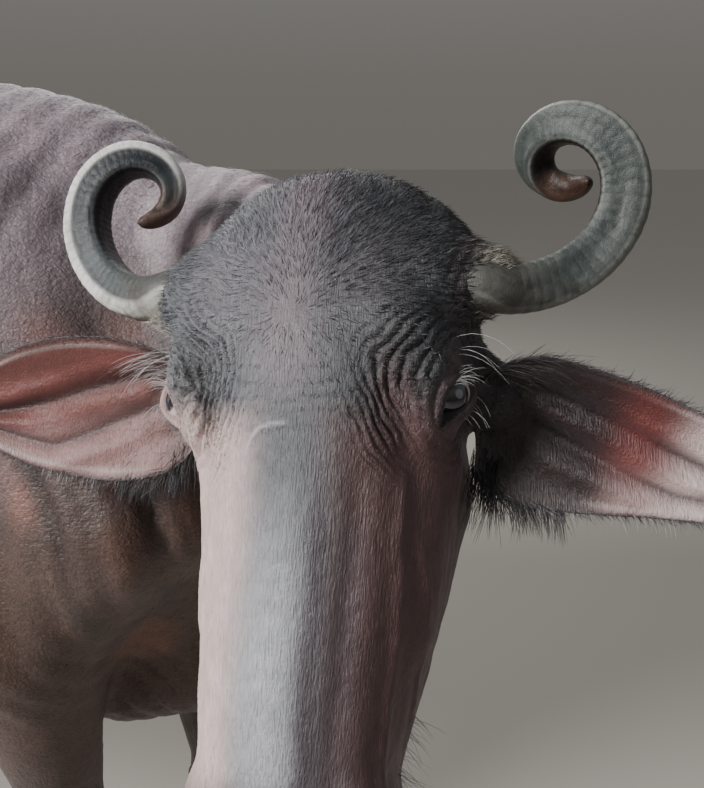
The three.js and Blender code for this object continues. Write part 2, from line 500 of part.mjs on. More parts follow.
// ---------------------------------------------------------------- eyes in sockets
function sphere(at, axis, r, around2, up) {
  const z = unit(axis), x = unit(cross([0, 0, 1], z)), y = cross(z, x), rings = [];
  for (let k = 0; k <= up; k++) {
    const t = -Math.PI / 2 + Math.PI * (k + 0.5) / (up + 1);
    rings.push(Array.from({ length: around2 }, (_, i) => {
      const a = 2 * Math.PI * i / around2;
      return add(at, add(mul(z, r * Math.sin(t)), add(mul(x, r * Math.cos(t) * Math.cos(a)), mul(y, r * Math.cos(t) * Math.sin(a)))));
    }));
  }
  return loft(rings);
}
const eyes = {};
for (const side of [1, -1]) {
  const at = fromHead([EYE_AT[0] * side, EYE_AT[1], EYE_AT[2]]);
  const g = fromHead([EYE_GAZE[0] * side, EYE_GAZE[1], EYE_GAZE[2]]);
  const eye = sphere(at, sub(g, HEAD_AT), EYE_RADIUS, 10, 5);
  eyes[side > 0 ? 'eye_left' : 'eye_right'] = eye;
  head = head.subtract(grown(eye, 0.0005));
}
head = biggest(head);

// ---------------------------------------------------------------- horns: a coil of one and a quarter turns
// given in the head frame for a left horn; the right one has its own numbers and is mirrored
const COILS = {
  left: { centre: [0.1902, -0.0112, -0.1042], turn: -0.1262, tip: 0.9912, radius: 0.0648, shrink: 0.1608, rise: -0.0432, start: 3.8119, sweep: 8.3, lift: 0.1401 },
  right: { centre: [0.1881, 0.0011, -0.1513], turn: -0.0587, tip: 0.6597, radius: 0.0878, shrink: 0.2371, rise: -0.0487, start: 4.1538, sweep: 6.80, lift: 0.2069 },
};
function coil(shape, th) {
  const { centre, turn, tip, radius, shrink, rise, start, lift } = shape;
  const a = [Math.sin(turn) * Math.cos(tip), Math.cos(turn) * Math.cos(tip), Math.sin(tip)];
  const e1 = unit(cross(a, [0, 0, 1])), e2 = cross(a, e1), r = radius * Math.exp(-shrink * th), ph = start + th;
  return add(add(centre, add(mul(e1, r * Math.cos(ph)), mul(e2, r * Math.sin(ph)))), mul(a, rise * th + lift * (th / 6) ** 2));
}
// the horn keeps its thickness and ends bluntly
const HORN_TAPER = table([[0, 1], [0.2, 0.95], [0.4, 0.83], [0.55, 0.73], [0.7, 0.64], [0.82, 0.56], [0.9, 0.46], [0.95, 0.36], [0.98, 0.24], [1, 0.06]]);
function horn(side) {
  const stations = [], n = 19, shape = side > 0 ? COILS.left : COILS.right;
  for (let i = 0; i <= n; i++) stations.push({ c: coil(shape, shape.sweep * i / n), s: i / n });
  stations.unshift({ c: add(mul(stations[0].c, 0.45), mul(HORN_CORE, 0.55)), s: -0.01 });
  stations.unshift({ c: HORN_CORE, s: -0.02 });
  const rings = stations.map(({ c, s }, i) => {
    const prev = stations[Math.max(0, i - 1)].c, next = stations[Math.min(stations.length - 1, i + 1)].c;
    const t = unit(sub(next, prev));
    const hub = side > 0 ? [0.203, -0.064, -0.160] : [0.203, -0.064, -0.180];  // middle of the coil
    let out = sub(c, hub); out = unit(sub(out, mul(t, dot(out, t))));
    const b = cross(t, out);
    const taper = s < 0 ? 1 : HORN_TAPER(s)[0];
    const w = HORN_WIDTH * taper, d = HORN_DEPTH * taper;
    return Array.from({ length: 7 }, (_, k) => {
      const a = 2 * Math.PI * k / 7;
      const round = 1 + 0.06 * Math.cos(3 * a);
      const q = add(c, add(mul(out, w * round * Math.cos(a)), mul(b, d * round * Math.sin(a))));
      return fromHead([q[0] * side, q[1], q[2]]);
    });
  });
  return loft(rings);
}

// ---------------------------------------------------------------- ears: a cupped leaf
const EAR_PROFILE = table([[0, 0.68], [0.06, 0.90], [0.13, 1.02], [0.24, 1.0], [0.38, 0.88], [0.55, 0.70], [0.70, 0.52], [0.84, 0.34], [0.94, 0.19], [1, 0.06]]);
// the ear on the right is seen more from its side and opens wider
const EAR_PROFILE_RIGHT = table([[0, 0.62], [0.08, 0.90], [0.16, 1.04], [0.30, 1.12], [0.45, 1.10], [0.60, 0.96], [0.74, 0.72], [0.86, 0.46], [0.95, 0.24], [1, 0.06]]);
const EAR_ROOT = [0.126, -0.104, -0.006];
function ear(side) {
  const droop = side > 0 ? 0.22 : -0.03, swing = side > 0 ? -0.06 : 0.12;
  const root = side > 0 ? [EAR_ROOT[0], EAR_ROOT[1], EAR_ROOT[2] + 0.010] : EAR_ROOT;
  const profile = side > 0 ? EAR_PROFILE : EAR_PROFILE_RIGHT;
  const nu = 9, nv = 5, rings = [];
  for (let i = 0; i <= nu; i++) {
    const u = i / nu, l = EAR_LENGTH * u;
    const drop = droop + (side > 0 ? 0.22 : 0.05) * u * u;
    const dir = unit([1, swing - 0.15 * u, drop]);
    const mid = add(root, add(mul([1, swing, droop], l), [0, -0.020 * u * u, (drop - droop) * l * 0.5]));
    const face = unit(sub([-0.10, 0.86, 0.50], mul(dir, dot(dir, [-0.10, 0.86, 0.50]))));
    const across = cross(dir, face);
    const w = EAR_HALF_WIDTH * profile(u)[0], cup = mix(0.62, 0.12, Math.sqrt(u)), thick = mix(0.0065, 0.0028, u);
    const ring = [];
    const point = (v, side2) => {
      const t = thick * Math.max(0.30, 1 - v * v * 0.9) * side2;
      return add(mid, add(mul(across, w * v * (1 - 0.18 * cup * v * v)), mul(face, w * cup * (v * v - 0.35) + t)));
    };
    for (let j = 0; j <= nv; j++) ring.push(point(-1 + 2 * j / nv, 1));
    for (let j = nv; j >= 0; j--) ring.push(point(-1 + 2 * j / nv, -1));
    rings.push(ring.map((q) => fromHead([q[0] * side, q[1], q[2]])));
  }
  return loft(rings);
}
const headOut = grown(head, 0.0006);
const horns = { horn_left: biggest(horn(1).subtract(headOut)), horn_right: biggest(horn(-1).subtract(headOut)) };
const ears = {};
for (const side of [1, -1]) {
  const name = side > 0 ? 'left' : 'right';
  ears['ear_' + name] = biggest(ear(side).subtract(headOut).subtract(grown(head, 0.0003)).subtract(grown(horns['horn_' + name], 0.0006)).subtract(grown(neck, 0.0006)).subtract(grown(trunk, 0.0006)));
}

// ---------------------------------------------------------------- tail and its switch
const TAIL = [[-0.775, 0, 1.205], [-0.835, 0.002, 1.175], [-0.872, 0.004, 1.100], [-0.884, 0.006, 0.960], [-0.880, 0.010, 0.800], [-0.872, 0.014, 0.640], [-0.868, 0.016, 0.545]];
const SWITCH = [[-0.868, 0.016, 0.5446], [-0.866, 0.017, 0.480], [-0.864, 0.018, 0.410], [-0.862, 0.018, 0.345], [-0.860, 0.018, 0.290]];
const TAIL_R = [0.036, 0.034, 0.030, 0.025, 0.020, 0.016, 0.013];
const SWITCH_R = [0.014, 0.026, 0.032, 0.026, 0.006];
function rope(line, radii, sides, flatEnds) {
  return loft(line.map((c, i) => {
    const t = unit(sub(line[Math.min(line.length - 1, i + 1)], line[Math.max(0, i - 1)]));
    const z = flatEnds && (i === 0 || i === line.length - 1) ? [0, 0, -1] : t;
    const x = unit(cross([0, 1, 0], z)), y = cross(z, x);
    return Array.from({ length: sides }, (_, k) => {
      const a = 2 * Math.PI * k / sides;
      return add(c, add(mul(x, radii[i] * Math.cos(a)), mul(y, radii[i] * Math.sin(a))));
    });
  }));
}
let tail = rope(TAIL, TAIL_R, 8, true);
for (const s of around) tail = tail.subtract(grown(s, 0.0006)).subtract(s);
tail = biggest(tail);
const tailSwitch = rope(SWITCH, SWITCH_R, 8, true);

// ---------------------------------------------------------------- claws and dewclaws
const CLAW_LENGTH = 0.108, CLAW_WIDTH = 0.050, CLAW_GAP = 0.007;
function claw(foot, side) {
  const inner = CLAW_GAP / 2, rings = [];
  const levels = [[0, 1.0, 0.004], [0.012, 1.0, 0.003], [0.6, 0.93, -0.002], [1, 0.86, -0.010]];
  for (const [h, scale, shift] of levels) {
    rings.push(Array.from({ length: 8 }, (_, k) => {
      const a = 2 * Math.PI * k / 8;
      const cx = Math.cos(a), sy = Math.sin(a);
      const l = CLAW_LENGTH / 2 * scale, w = CLAW_WIDTH / 2 * (0.93 + 0.07 * scale);
      const x = Math.sign(cx) * Math.pow(Math.abs(cx), 0.85) * l;
      const toe = clamp(x / l, -1, 1);
      const wide = w * (1 - 0.22 * Math.max(0, toe) ** 2);
      const y = inner + w + (Math.sign(sy) * Math.pow(Math.abs(sy), 0.75)) * wide - w * 0.16 * Math.max(0, toe) ** 2;
      const px = foot[0] + 0.008 + x + shift * (1 + h);
      const topZ = foot[2] - GAP + CORONET_SLOPE * (px - foot[0]);
      return [px, foot[1] + side * y, h * topZ];
    }));
  }
  return loft(rings);
}
const pieces = {
  head, neck, trunk, tail, tail_switch: tailSwitch, udder,
  foreleg_left: legSolids.foreleg_left.s, foreleg_right: legSolids.foreleg_right.s,
  hindleg_left: legSolids.hindleg_left.s, hindleg_right: legSolids.hindleg_right.s,
  ...ears, ...eyes, ...horns,
};
for (const [name, { s, foot, leg }] of Object.entries(legSolids)) {
  const legOut = grown(s, 0.0006);
  for (const side of [1, -1]) {
    const which = side * leg.side > 0 ? 'outer' : 'inner';
    pieces[`claw_${name}_${which}`] = claw(foot, side);
    const z = 0.138, back = (leg.fore ? 0.446 : -0.646) + leg.step * (1 - z / (leg.fore ? 0.80 : 0.86));
    const dew = rope([[back - 0.020, foot[1] + side * 0.020, z + 0.010], [back - 0.044, foot[1] + side * 0.024, z - 0.004], [back - 0.054, foot[1] + side * 0.025, z - 0.022]], [0.015, 0.0145, 0.006], 5, false);
    pieces[`dewclaw_${name}_${which}`] = biggest(dew.subtract(legOut));
  }
}

// ---------------------------------------------------------------- the named meshes
const look = (colour, roughness, metalness = 0) => new THREE.MeshStandardMaterial({ color: colour, roughness, metalness });
function material(name) {
  if (name.startsWith('horn')) return look(HORN, 0.55);
  if (name.startsWith('eye')) return look(EYE, 0.08);
  if (name.includes('claw')) return look(CLAW, 0.6);
  if (name.startsWith('ear')) return look(EAR, 0.7);
  return look(HIDE, 0.75);
}
const group = new THREE.Group();
let count = 0;
for (const [name, s] of Object.entries(pieces)) {
  const { pts, tris } = meshOf(tidy(s));
  const used = new Map(), position = [], index = [];
  for (const t of tris) for (const v of t) {
    if (!used.has(v)) { used.set(v, used.size); position.push(pts[v][0] * MM, pts[v][1] * MM, pts[v][2] * MM); }
    index.push(used.get(v));
  }
  const g = new THREE.BufferGeometry();
  g.setAttribute('position', new THREE.Float32BufferAttribute(position, 3));
  g.setIndex(index);
  g.computeVertexNormals();
  const mesh = new THREE.Mesh(g, material(name));
  mesh.name = name;
  mesh.position.set(CENTRE[0] * MM, CENTRE[1] * MM, 0);
  group.add(mesh);
  count += tris.length;
}
group.userData.triangles = count;

export default group;
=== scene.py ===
import math
import time
import bpy
import bmesh
import numpy as np
from mathutils import Matrix, Vector


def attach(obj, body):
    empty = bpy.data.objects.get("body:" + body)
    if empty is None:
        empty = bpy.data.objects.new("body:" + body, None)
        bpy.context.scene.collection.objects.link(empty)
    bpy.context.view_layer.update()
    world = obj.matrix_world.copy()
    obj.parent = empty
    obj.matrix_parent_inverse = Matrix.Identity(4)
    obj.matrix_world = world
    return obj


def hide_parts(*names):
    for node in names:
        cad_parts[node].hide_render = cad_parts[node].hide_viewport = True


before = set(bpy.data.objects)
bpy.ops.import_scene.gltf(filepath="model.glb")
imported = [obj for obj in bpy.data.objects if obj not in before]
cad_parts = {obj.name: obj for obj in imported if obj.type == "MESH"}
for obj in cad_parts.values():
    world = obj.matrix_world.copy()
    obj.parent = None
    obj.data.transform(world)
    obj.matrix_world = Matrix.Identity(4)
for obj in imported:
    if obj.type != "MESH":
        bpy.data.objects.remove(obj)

T0 = time.time()
def stamp(what):
    print("[scene] %-28s %.1f s" % (what, time.time() - T0))

# The construction's own sizes, in metres. SHIFT puts the origin under the middle of the animal.
SHIFT = np.array([-0.148, 0.134, 0.0])

def unit(v):
    v = np.asarray(v, float)
    return v / np.linalg.norm(v)

HEAD_AT = np.array([0.7843, -0.4270, 1.1716])
HZ = unit([-0.058, -0.594, -0.802])
SIDE = np.array([0.9597, -0.2547, 0.1193])
HX = unit(SIDE - HZ * SIDE.dot(HZ))
HY = np.cross(HZ, HX)
HM = np.stack([HX, HY, HZ])                    # rows: head axes

def to_head(p):
    return (p - HEAD_AT) @ HM.T

def from_head(q):
    return HEAD_AT + np.asarray(q, float) @ HM

def smooth(a, b, x):
    t = np.clip((x - a) / (b - a), 0, 1)
    return t * t * (3 - 2 * t)

def bump_at(x, c, w):
    return np.exp(-((x - c) / w) ** 2)

# ------------------------------------------------------------------ tables
def table(rows, n=3000):
    rows = np.array(rows, float)
    xs, ys = rows[:, 0], rows[:, 1:]
    t = np.linspace(xs[0], xs[-1], n)
    i = np.clip(np.searchsorted(xs, t, side="right") - 1, 0, len(xs) - 2)
    h = xs[i + 1] - xs[i]
    s = ((t - xs[i]) / h)[:, None]
    ip, iq = np.maximum(i - 1, 0), np.minimum(i + 2, len(xs) - 1)
    ma = (ys[i + 1] - ys[ip]) / (xs[i + 1] - xs[ip])[:, None]
    mb = (ys[iq] - ys[i]) / (xs[iq] - xs[i])[:, None]
    h = h[:, None]
    val = (2 * s ** 3 - 3 * s ** 2 + 1) * ys[i] + (s ** 3 - 2 * s ** 2 + s) * h * ma + (3 * s ** 2 - 2 * s ** 3) * ys[i + 1] + (s ** 3 - s ** 2) * h * mb
    def get(x):
        u = np.clip((x - xs[0]) / (xs[-1] - xs[0]), 0, 1) * (n - 1)
        k = np.minimum(u.astype(int), n - 2)
        f = (u - k)[:, None]
        v = val[k] * (1 - f) + val[k + 1] * f
        return [v[:, c] for c in range(v.shape[1])]
    return get

# ------------------------------------------------------------------ rounded solids
def muscle(a, b, ra, rb, k):
    return ("m", np.array(a, float), np.array(b, float), ra, rb, k)

def mass(c, r, k):
    return ("e", np.array(c, float), np.array(r, float), 0, 0, k)

def solid_distance(s, p):
    if s[0] == "m":
        ba = s[2] - s[1]
        pa = p - s[1]
        t = np.clip(pa @ ba / ba.dot(ba), 0, 1)
        d = pa - t[:, None] * ba
        return np.sqrt((d * d).sum(1)) - (s[3] + (s[4] - s[3]) * t)
    d = p - s[1]
    k0 = np.sqrt(((d / s[2]) ** 2).sum(1))
    k1 = np.sqrt(((d / s[2] ** 2) ** 2).sum(1))
    return np.where(k1 < 1e-9, -s[2].min(), k0 * (k0 - 1) / np.maximum(k1, 1e-9))

def blend(a, b, k):
    h = np.maximum(k - np.abs(a - b), 0) / k
    return np.minimum(a, b) - h * h * k * 0.25

def section_distance(w, high, low, m, nu, nl, side, up):
    h = high - low
    v = (up - low) / h
    above = v > m
    n = np.where(above, nu, nl)
    vv = np.where(above, (v - m) / (1 - m), (m - v) / m)
    hh = np.where(above, (1 - m) * h, m * h)
    u = np.abs(side) / w
    q = np.power(np.power(u, n) + np.power(np.abs(vv), n), 1 / n)
    return (q - 1) * np.minimum(w, hh) * 0.9

WITHERS, BRISKET = 1.36, 0.500
TRUNK = table([
    [-0.84, 0.030, 1.150, 1.060, 0.50, 2.0, 2.0],
    [-0.80, 0.110, 1.215, 0.985, 0.50, 2.0, 2.0],
    [-0.72, 0.180, 1.275, 0.860, 0.52, 2.0, 2.0],
    [-0.60, 0.225, 1.325, 0.760, 0.58, 2.0, 2.0],
    [-0.45, 0.262, 1.350, 0.690, 0.55, 1.9, 2.1],
    [-0.30, 0.300, 1.345, 0.630, 0.48, 1.8, 2.2],
    [-0.10, 0.335, 1.335, 0.585, 0.44, 1.8, 2.2],
    [0.10, 0.325, 1.325, 0.578, 0.44, 1.8, 2.2],
    [0.28, 0.275, WITHERS - 0.018, 0.575, 0.44, 1.7, 2.2],
    [0.42, 0.215, WITHERS - 0.005, 0.578, 0.42, 1.6, 2.2],
    [0.54, 0.170, 1.290, 0.610, 0.42, 1.8, 2.2],
    [0.62, 0.115, 1.170, 0.680, 0.42, 2.0, 2.2],
    [0.67, 0.040, 1.050, 0.780, 0.45, 2.0, 2.0]])
TRUNK_SIDES = [
    muscle([0.40, 0.105, 1.240], [0.56, 0.170, 0.930], 0.075, 0.085, 0.09),
    muscle([0.55, 0.165, 0.900], [0.43, 0.175, 0.760], 0.095, 0.080, 0.07),
    muscle([0.36, 0.130, 1.060], [0.36, 0.175, 0.800], 0.085, 0.062, 0.08),
    mass([-0.415, 0.212, 1.262], [0.070, 0.040, 0.040], 0.100),
    muscle([-0.42, 0.215, 1.245], [-0.44, 0.185, 0.900], 0.035, 0.085, 0.10),
    muscle([-0.55, 0.130, 1.080], [-0.53, 0.165, 0.860], 0.130, 0.115, 0.10),
    muscle([-0.755, 0.105, 1.130], [-0.70, 0.130, 0.860], 0.046, 0.080, 0.08),
    muscle([-0.60, 0.085, 1.300], [-0.74, 0.045, 1.225], 0.050, 0.040, 0.08),
    mass([-0.415, 0.185, 0.800], [0.072, 0.065, 0.080], 0.08),
    muscle([-0.33, 0.235, 0.860], [-0.41, 0.205, 0.780], 0.020, 0.030, 0.09)]
TRUNK_MIDDLE = [
    muscle([0.34, 0, 0.650], [0.50, -0.010, BRISKET + 0.070], 0.080, 0.068, 0.08),
    muscle([0.50, -0.010, BRISKET + 0.070], [0.600, -0.030, BRISKET + 0.095], 0.070, 0.055, 0.06),
    muscle([0.600, -0.030, BRISKET + 0.095], [0.650, -0.050, 0.840], 0.055, 0.058, 0.08),
    mass([0.40, 0, WITHERS - 0.052], [0.14, 0.040, 0.048], 0.08),
    muscle([-0.74, 0, 1.215], [-0.815, 0, 1.175], 0.038, 0.030, 0.06)]
NECK = [
    muscle([0.36, 0, 1.245], [0.56, 0.015, 1.215], 0.085, 0.080, 0.08),
    muscle([0.56, 0.015, 1.215], [0.705, -0.070, 1.200], 0.080, 0.078, 0.06),
    muscle([0.705, -0.070, 1.200], from_head([-0.010, -0.130, -0.105]), 0.078, 0.074, 0.06),
    muscle([0.44, 0, 1.040], [0.61, -0.010, 1.045], 0.165, 0.132, 0.09),
    muscle([0.61, -0.010, 1.045], [0.735, -0.115, 1.075], 0.132, 0.102, 0.07),
    muscle([0.735, -0.115, 1.075], from_head([-0.010, -0.165, -0.055]), 0.102, 0.086, 0.07),
    muscle([0.52, 0, 0.820], [0.650, -0.045, 0.920], 0.120, 0.088, 0.09),
    muscle([0.650, -0.045, 0.920], [0.745, -0.165, 0.995], 0.088, 0.074, 0.07),
    muscle([0.745, -0.165, 0.995], from_head([-0.006, -0.200, -0.015]), 0.074, 0.062, 0.07)]
FORELEG = [
    muscle([0.430, 0.172, 0.730], [0.448, 0.166, 0.430], 0.082, 0.043, 0.05),
    muscle([0.385, 0.172, 0.740], [0.425, 0.168, 0.560], 0.060, 0.040, 0.05),
    mass([0.455, 0.166, 0.392], [0.047, 0.043, 0.060], 0.035),
    muscle([0.450, 0.166, 0.350], [0.448, 0.166, 0.170], 0.033, 0.0315, 0.03),
    mass([0.446, 0.166, 0.150], [0.040, 0.040, 0.042], 0.035),
    muscle([0.452, 0.166, 0.130], [0.480, 0.166, 0.066], 0.034, 0.040, 0.03)]
HINDLEG = [
    muscle([-0.455, 0.180, 0.810], [-0.600, 0.165, 0.600], 0.098, 0.052, 0.06),
    muscle([-0.680, 0.150, 0.860], [-0.705, 0.158, 0.600], 0.060, 0.026, 0.06),
    muscle([-0.600, 0.165, 0.820], [-0.662, 0.160, 0.590], 0.070, 0.034, 0.05),
    muscle([-0.600, 0.165, 0.620], [-0.672, 0.160, 0.500], 0.054, 0.044, 0.05),
    muscle([-0.715, 0.160, 0.590], [-0.690, 0.160, 0.480], 0.024, 0.036, 0.04),
    muscle([-0.676, 0.160, 0.480], [-0.650, 0.160, 0.180], 0.040, 0.034, 0.04),
    mass([-0.646, 0.160, 0.155], [0.041, 0.041, 0.043], 0.035),
    muscle([-0.640, 0.160, 0.132], [-0.606, 0.160, 0.066], 0.034, 0.040, 0.03)]
LEGS = {
    "foreleg_left": (True, 1, 0.140), "foreleg_right": (True, -1, -0.020),
    "hindleg_left": (False, 1, 0.050), "hindleg_right": (False, -1, -0.040)}
SKULL = table([
    [-0.203, 0.030, -0.092, -0.132, 0.50, 2.0, 2.0],
    [-0.184, 0.084, -0.058, -0.165, 0.55, 2.2, 2.0],
    [-0.150, 0.119, -0.022, -0.195, 0.60, 2.4, 2.0],
    [-0.100, 0.131, 0.006, -0.215, 0.66, 2.6, 2.0],
    [-0.050, 0.121, 0.013, -0.240, 0.67, 2.6, 2.0],
    [0.000, 0.108, 0.010, -0.255, 0.62, 2.5, 2.0],
    [0.050, 0.107, 0.003, -0.252, 0.52, 2.2, 2.2],
    [0.100, 0.103, 0.001, -0.232, 0.46, 2.0, 2.3],
    [0.160, 0.094, -0.001, -0.202, 0.44, 2.0, 2.3],
    [0.220, 0.082, -0.007, -0.176, 0.45, 2.1, 2.3],
    [0.270, 0.072, -0.017, -0.160, 0.50, 2.3, 2.3],
    [0.310, 0.070, -0.034, -0.152, 0.54, 2.4, 2.4],
    [0.335, 0.055, -0.056, -0.138, 0.56, 2.3, 2.3],
    [0.348, 0.020, -0.080, -0.115, 0.50, 2.0, 2.0]])
HEAD_SIDES = [
    mass([0.088, -0.046, 0.002], [0.026, 0.034, 0.044], 0.020),
    muscle([0.074, -0.018, -0.045], [0.096, -0.027, -0.008], 0.022, 0.015, 0.022),
    muscle([0.056, -0.090, 0.010], [0.054, -0.150, 0.055], 0.044, 0.048, 0.030),
    mass([0.058, -0.195, -0.020], [0.036, 0.062, 0.062], 0.040),
    muscle([0.086, -0.076, 0.050], [0.070, -0.082, 0.170], 0.012, 0.012, 0.030),
    muscle([0.096, -0.050, -0.088], [0.137, -0.056, -0.091], 0.034, 0.0250, 0.022),
    muscle([0.096, -0.104, -0.035], [0.134, -0.106, -0.012], 0.036, 0.029, 0.024),
    mass([0.043, -0.060, 0.306], [0.033, 0.030, 0.036], 0.022)]
HEAD_MIDDLE = [
    mass([0, -0.088, 0.312], [0.070, 0.044, 0.036], 0.030),
    mass([0, -0.140, 0.285], [0.046, 0.026, 0.044], 0.025),
    mass([0, -0.070, -0.160], [0.075, 0.055, 0.040], 0.040)]
NOSTRIL = mass([0.039, -0.060, 0.343], [0.015, 0.013, 0.022], 0)
UDDER = [mass([-0.400, 0, 0.640], [0.150, 0.118, 0.105], 0.05), mass([-0.480, 0, 0.670], [0.100, 0.105, 0.120], 0.05)]
TEATS = [(-0.345, 0.060), (-0.455, 0.055)]
TAIL = np.array([[-0.775, 0, 1.205], [-0.835, 0.002, 1.175], [-0.872, 0.004, 1.100], [-0.884, 0.006, 0.960], [-0.880, 0.010, 0.800], [-0.872, 0.014, 0.640], [-0.868, 0.016, 0.530]])
TAIL_R = [0.036, 0.034, 0.030, 0.025, 0.020, 0.016, 0.011]

def lean_at(z):
    return 0.005 * np.exp(-((z - 0.11) / 0.09) ** 2)

def trunk_distance(p):
    w, hi, lo, m, nu, nl = TRUNK(p[:, 0])
    d = section_distance(w, hi, lo, m, nu, nl, p[:, 1], p[:, 2])
    end = np.maximum(p[:, 0] - 0.67, -0.84 - p[:, 0])
    return np.where(end > 0, np.hypot(np.maximum(d, 0), end), d)

def leg_distance(name, p):
    front, side, step = LEGS[name]
    t = np.clip(1 - p[:, 2] / (0.80 if front else 0.86), 0, 1)
    q = np.stack([p[:, 0] - step * t, p[:, 1] * side, p[:, 2]], 1)
    d = np.ones(len(p))
    for s in (FORELEG if front else HINDLEG):
        d = blend(d, solid_distance(s, q), s[5])
    return d

def udder_distance(p):
    q = np.stack([p[:, 0], np.abs(p[:, 1]), p[:, 2]], 1)
    d = np.ones(len(p))
    for s in UDDER:
        d = blend(d, solid_distance(s, q), s[5])
    for x, y in TEATS:
        d = blend(d, solid_distance(muscle([x, y, 0.575], [x + 0.004, y + 0.006, 0.488], 0.021, 0.0135, 0), q), 0.020)
    return d

def tail_distance(p):
    d = np.ones(len(p))
    for a, b, ra, rb in zip(TAIL[:-1], TAIL[1:], TAIL_R[:-1], TAIL_R[1:]):
        d = blend(d, solid_distance(muscle(a, b, ra, rb, 0), p), 0.012)
    return d

def head_distance(p):
    q0 = to_head(p)
    q = np.stack([np.abs(q0[:, 0] - lean_at(q0[:, 2])), q0[:, 1], q0[:, 2]], 1)
    w, hi, lo, m, nu, nl = SKULL(q[:, 2])
    d = section_distance(w, hi, lo, m, nu, nl, q[:, 0], q[:, 1])
    end = np.maximum(q[:, 2] - 0.348, -0.203 - q[:, 2])
    d = np.where(end > 0, np.hypot(np.maximum(d, 0), end), d)
    for s in HEAD_SIDES + HEAD_MIDDLE:
        d = blend(d, solid_distance(s, q), s[5])
    return -blend(-d, solid_distance(NOSTRIL, q), 0.008)

def body_distance(p):
    d = trunk_distance(p)
    q = np.stack([p[:, 0], np.abs(p[:, 1]), p[:, 2]], 1)
    for s in TRUNK_SIDES:
        d = blend(d, solid_distance(s, q), s[5])
    for s in TRUNK_MIDDLE:
        d = blend(d, solid_distance(s, p), s[5])
    n = np.ones(len(p))
    for s in NECK:
        n = blend(n, solid_distance(s, p), s[5])
    d = blend(d, n, 0.10)
    for name, (front, side, step) in LEGS.items():
        near = p[:, 1] * side > -0.05
        if near.any():
            d[near] = blend(d[near], leg_distance(name, p[near]), 0.045)
    return d

COAT = 0.0016        # the skin lies this far inside the solids
def flesh(p):
    d = blend(body_distance(p), head_distance(p), 0.050)
    low = (p[:, 0] < -0.10) & (p[:, 2] < 1.30)
    if low.any():
        q = p[low]
        e = blend(d[low], udder_distance(q), 0.030)
        d[low] = blend(e, tail_distance(q), 0.012)
    # the legs end on the slanting top of the claws
    for name, (front, side, step) in LEGS.items():
        k = 1 - 0.062 / (0.80 if front else 0.86)
        foot = np.array([(0.480 if front else -0.606) + step * k, side * (0.166 if front else 0.160), 0.062])
        near = (np.abs(p[:, 0] - foot[0]) < 0.12) & (np.abs(p[:, 1] - foot[1]) < 0.09) & (p[:, 2] < 0.13)
        if near.any():
            q = p[near]
            cut = (foot[2] - 0.006 + 0.30 * (q[:, 0] - foot[0]) - q[:, 2]) / 1.044
            d[near] = np.maximum(d[near], cut)
    return d + COAT

# ------------------------------------------------------------------ the base skin, on a fine grid near the surface
def field(lo, hi, h, f, coarse=4):
    n = [int(math.ceil((b - a) / h / coarse)) * coarse + 1 for a, b in zip(lo, hi)]
    ax = [lo[k] + h * np.arange(n[k]) for k in range(3)]
    c = [a[::coarse] for a in ax]
    g = np.stack(np.meshgrid(*c, indexing="ij"), -1).reshape(-1, 3)
    rough = f(g).reshape([len(x) for x in c])
    def up(v, axis, m):
        v = np.moveaxis(v, axis, 0)
        t = np.arange(m) / coarse
        i = np.minimum(t.astype(int), v.shape[0] - 2)
        w = (t - i)[:, None, None]
        return np.moveaxis(v[i] * (1 - w) + v[i + 1] * w, 0, axis)
    val = rough
    for k in range(3):
        val = up(val, k, n[k])
    near = np.abs(val) < h * coarse * 1.35
    ii = np.argwhere(near)
    pts = np.stack([ax[k][ii[:, k]] for k in range(3)], 1)
    out = np.empty(len(pts))
    for s in range(0, len(pts), 400000):
        out[s:s + 400000] = f(pts[s:s + 400000])
    val[near] = out
    return val, np.array(lo, float)

def surface_nets(val, lo, h):
    s = val < 0
    nx, ny, nz = val.shape
    corners = [(i, j, k) for i in (0, 1) for j in (0, 1) for k in (0, 1)]
    cnt = np.zeros((nx - 1, ny - 1, nz - 1), np.int8)
    for i, j, k in corners:
        cnt += s[i:nx - 1 + i, j:ny - 1 + j, k:nz - 1 + k]
    act = (cnt > 0) & (cnt < 8)
    idx = np.full(act.shape, -1, np.int64)
    ci = np.argwhere(act)
    idx[act] = np.arange(len(ci))
    acc = np.zeros((len(ci), 3))
    num = np.zeros(len(ci))
    for a in corners:
        for b in corners:
            if sum(b) - sum(a) != 1 or any(y < x for x, y in zip(a, b)):
                continue
            va = val[ci[:, 0] + a[0], ci[:, 1] + a[1], ci[:, 2] + a[2]]
            vb = val[ci[:, 0] + b[0], ci[:, 1] + b[1], ci[:, 2] + b[2]]
            m = (va < 0) != (vb < 0)
            t = np.where(m, va / np.where(m, va - vb, 1), 0)
            e = np.array(a) + (np.array(b) - np.array(a)) * t[:, None]
            acc[m] += e[m]
            num[m] += 1
    verts = lo + h * (ci + acc / num[:, None])
    quads = []
    for axis in range(3):
        sl = [slice(1, -1)] * 3
        a = [slice(1, n - 1) for n in val.shape]
        b = list(a)
        a[axis] = slice(0, val.shape[axis] - 1)
        b[axis] = slice(1, val.shape[axis])
        m = s[tuple(a)] != s[tuple(b)]
        at = np.argwhere(m) + 1
        at[:, axis] -= 1
        inside = s[at[:, 0], at[:, 1], at[:, 2]]
        o1, o2 = [(1, 2), (2, 0), (0, 1)][axis]
        def cell(d1, d2):
            c = at.copy()
            c[:, o1] -= d1
            c[:, o2] -= d2
            return idx[c[:, 0], c[:, 1], c[:, 2]]
        q = np.stack([cell(0, 0), cell(1, 0), cell(1, 1), cell(0, 1)], 1)
        q[~inside] = q[~inside][:, ::-1]
        quads.append(q)
    return verts, np.concatenate(quads)

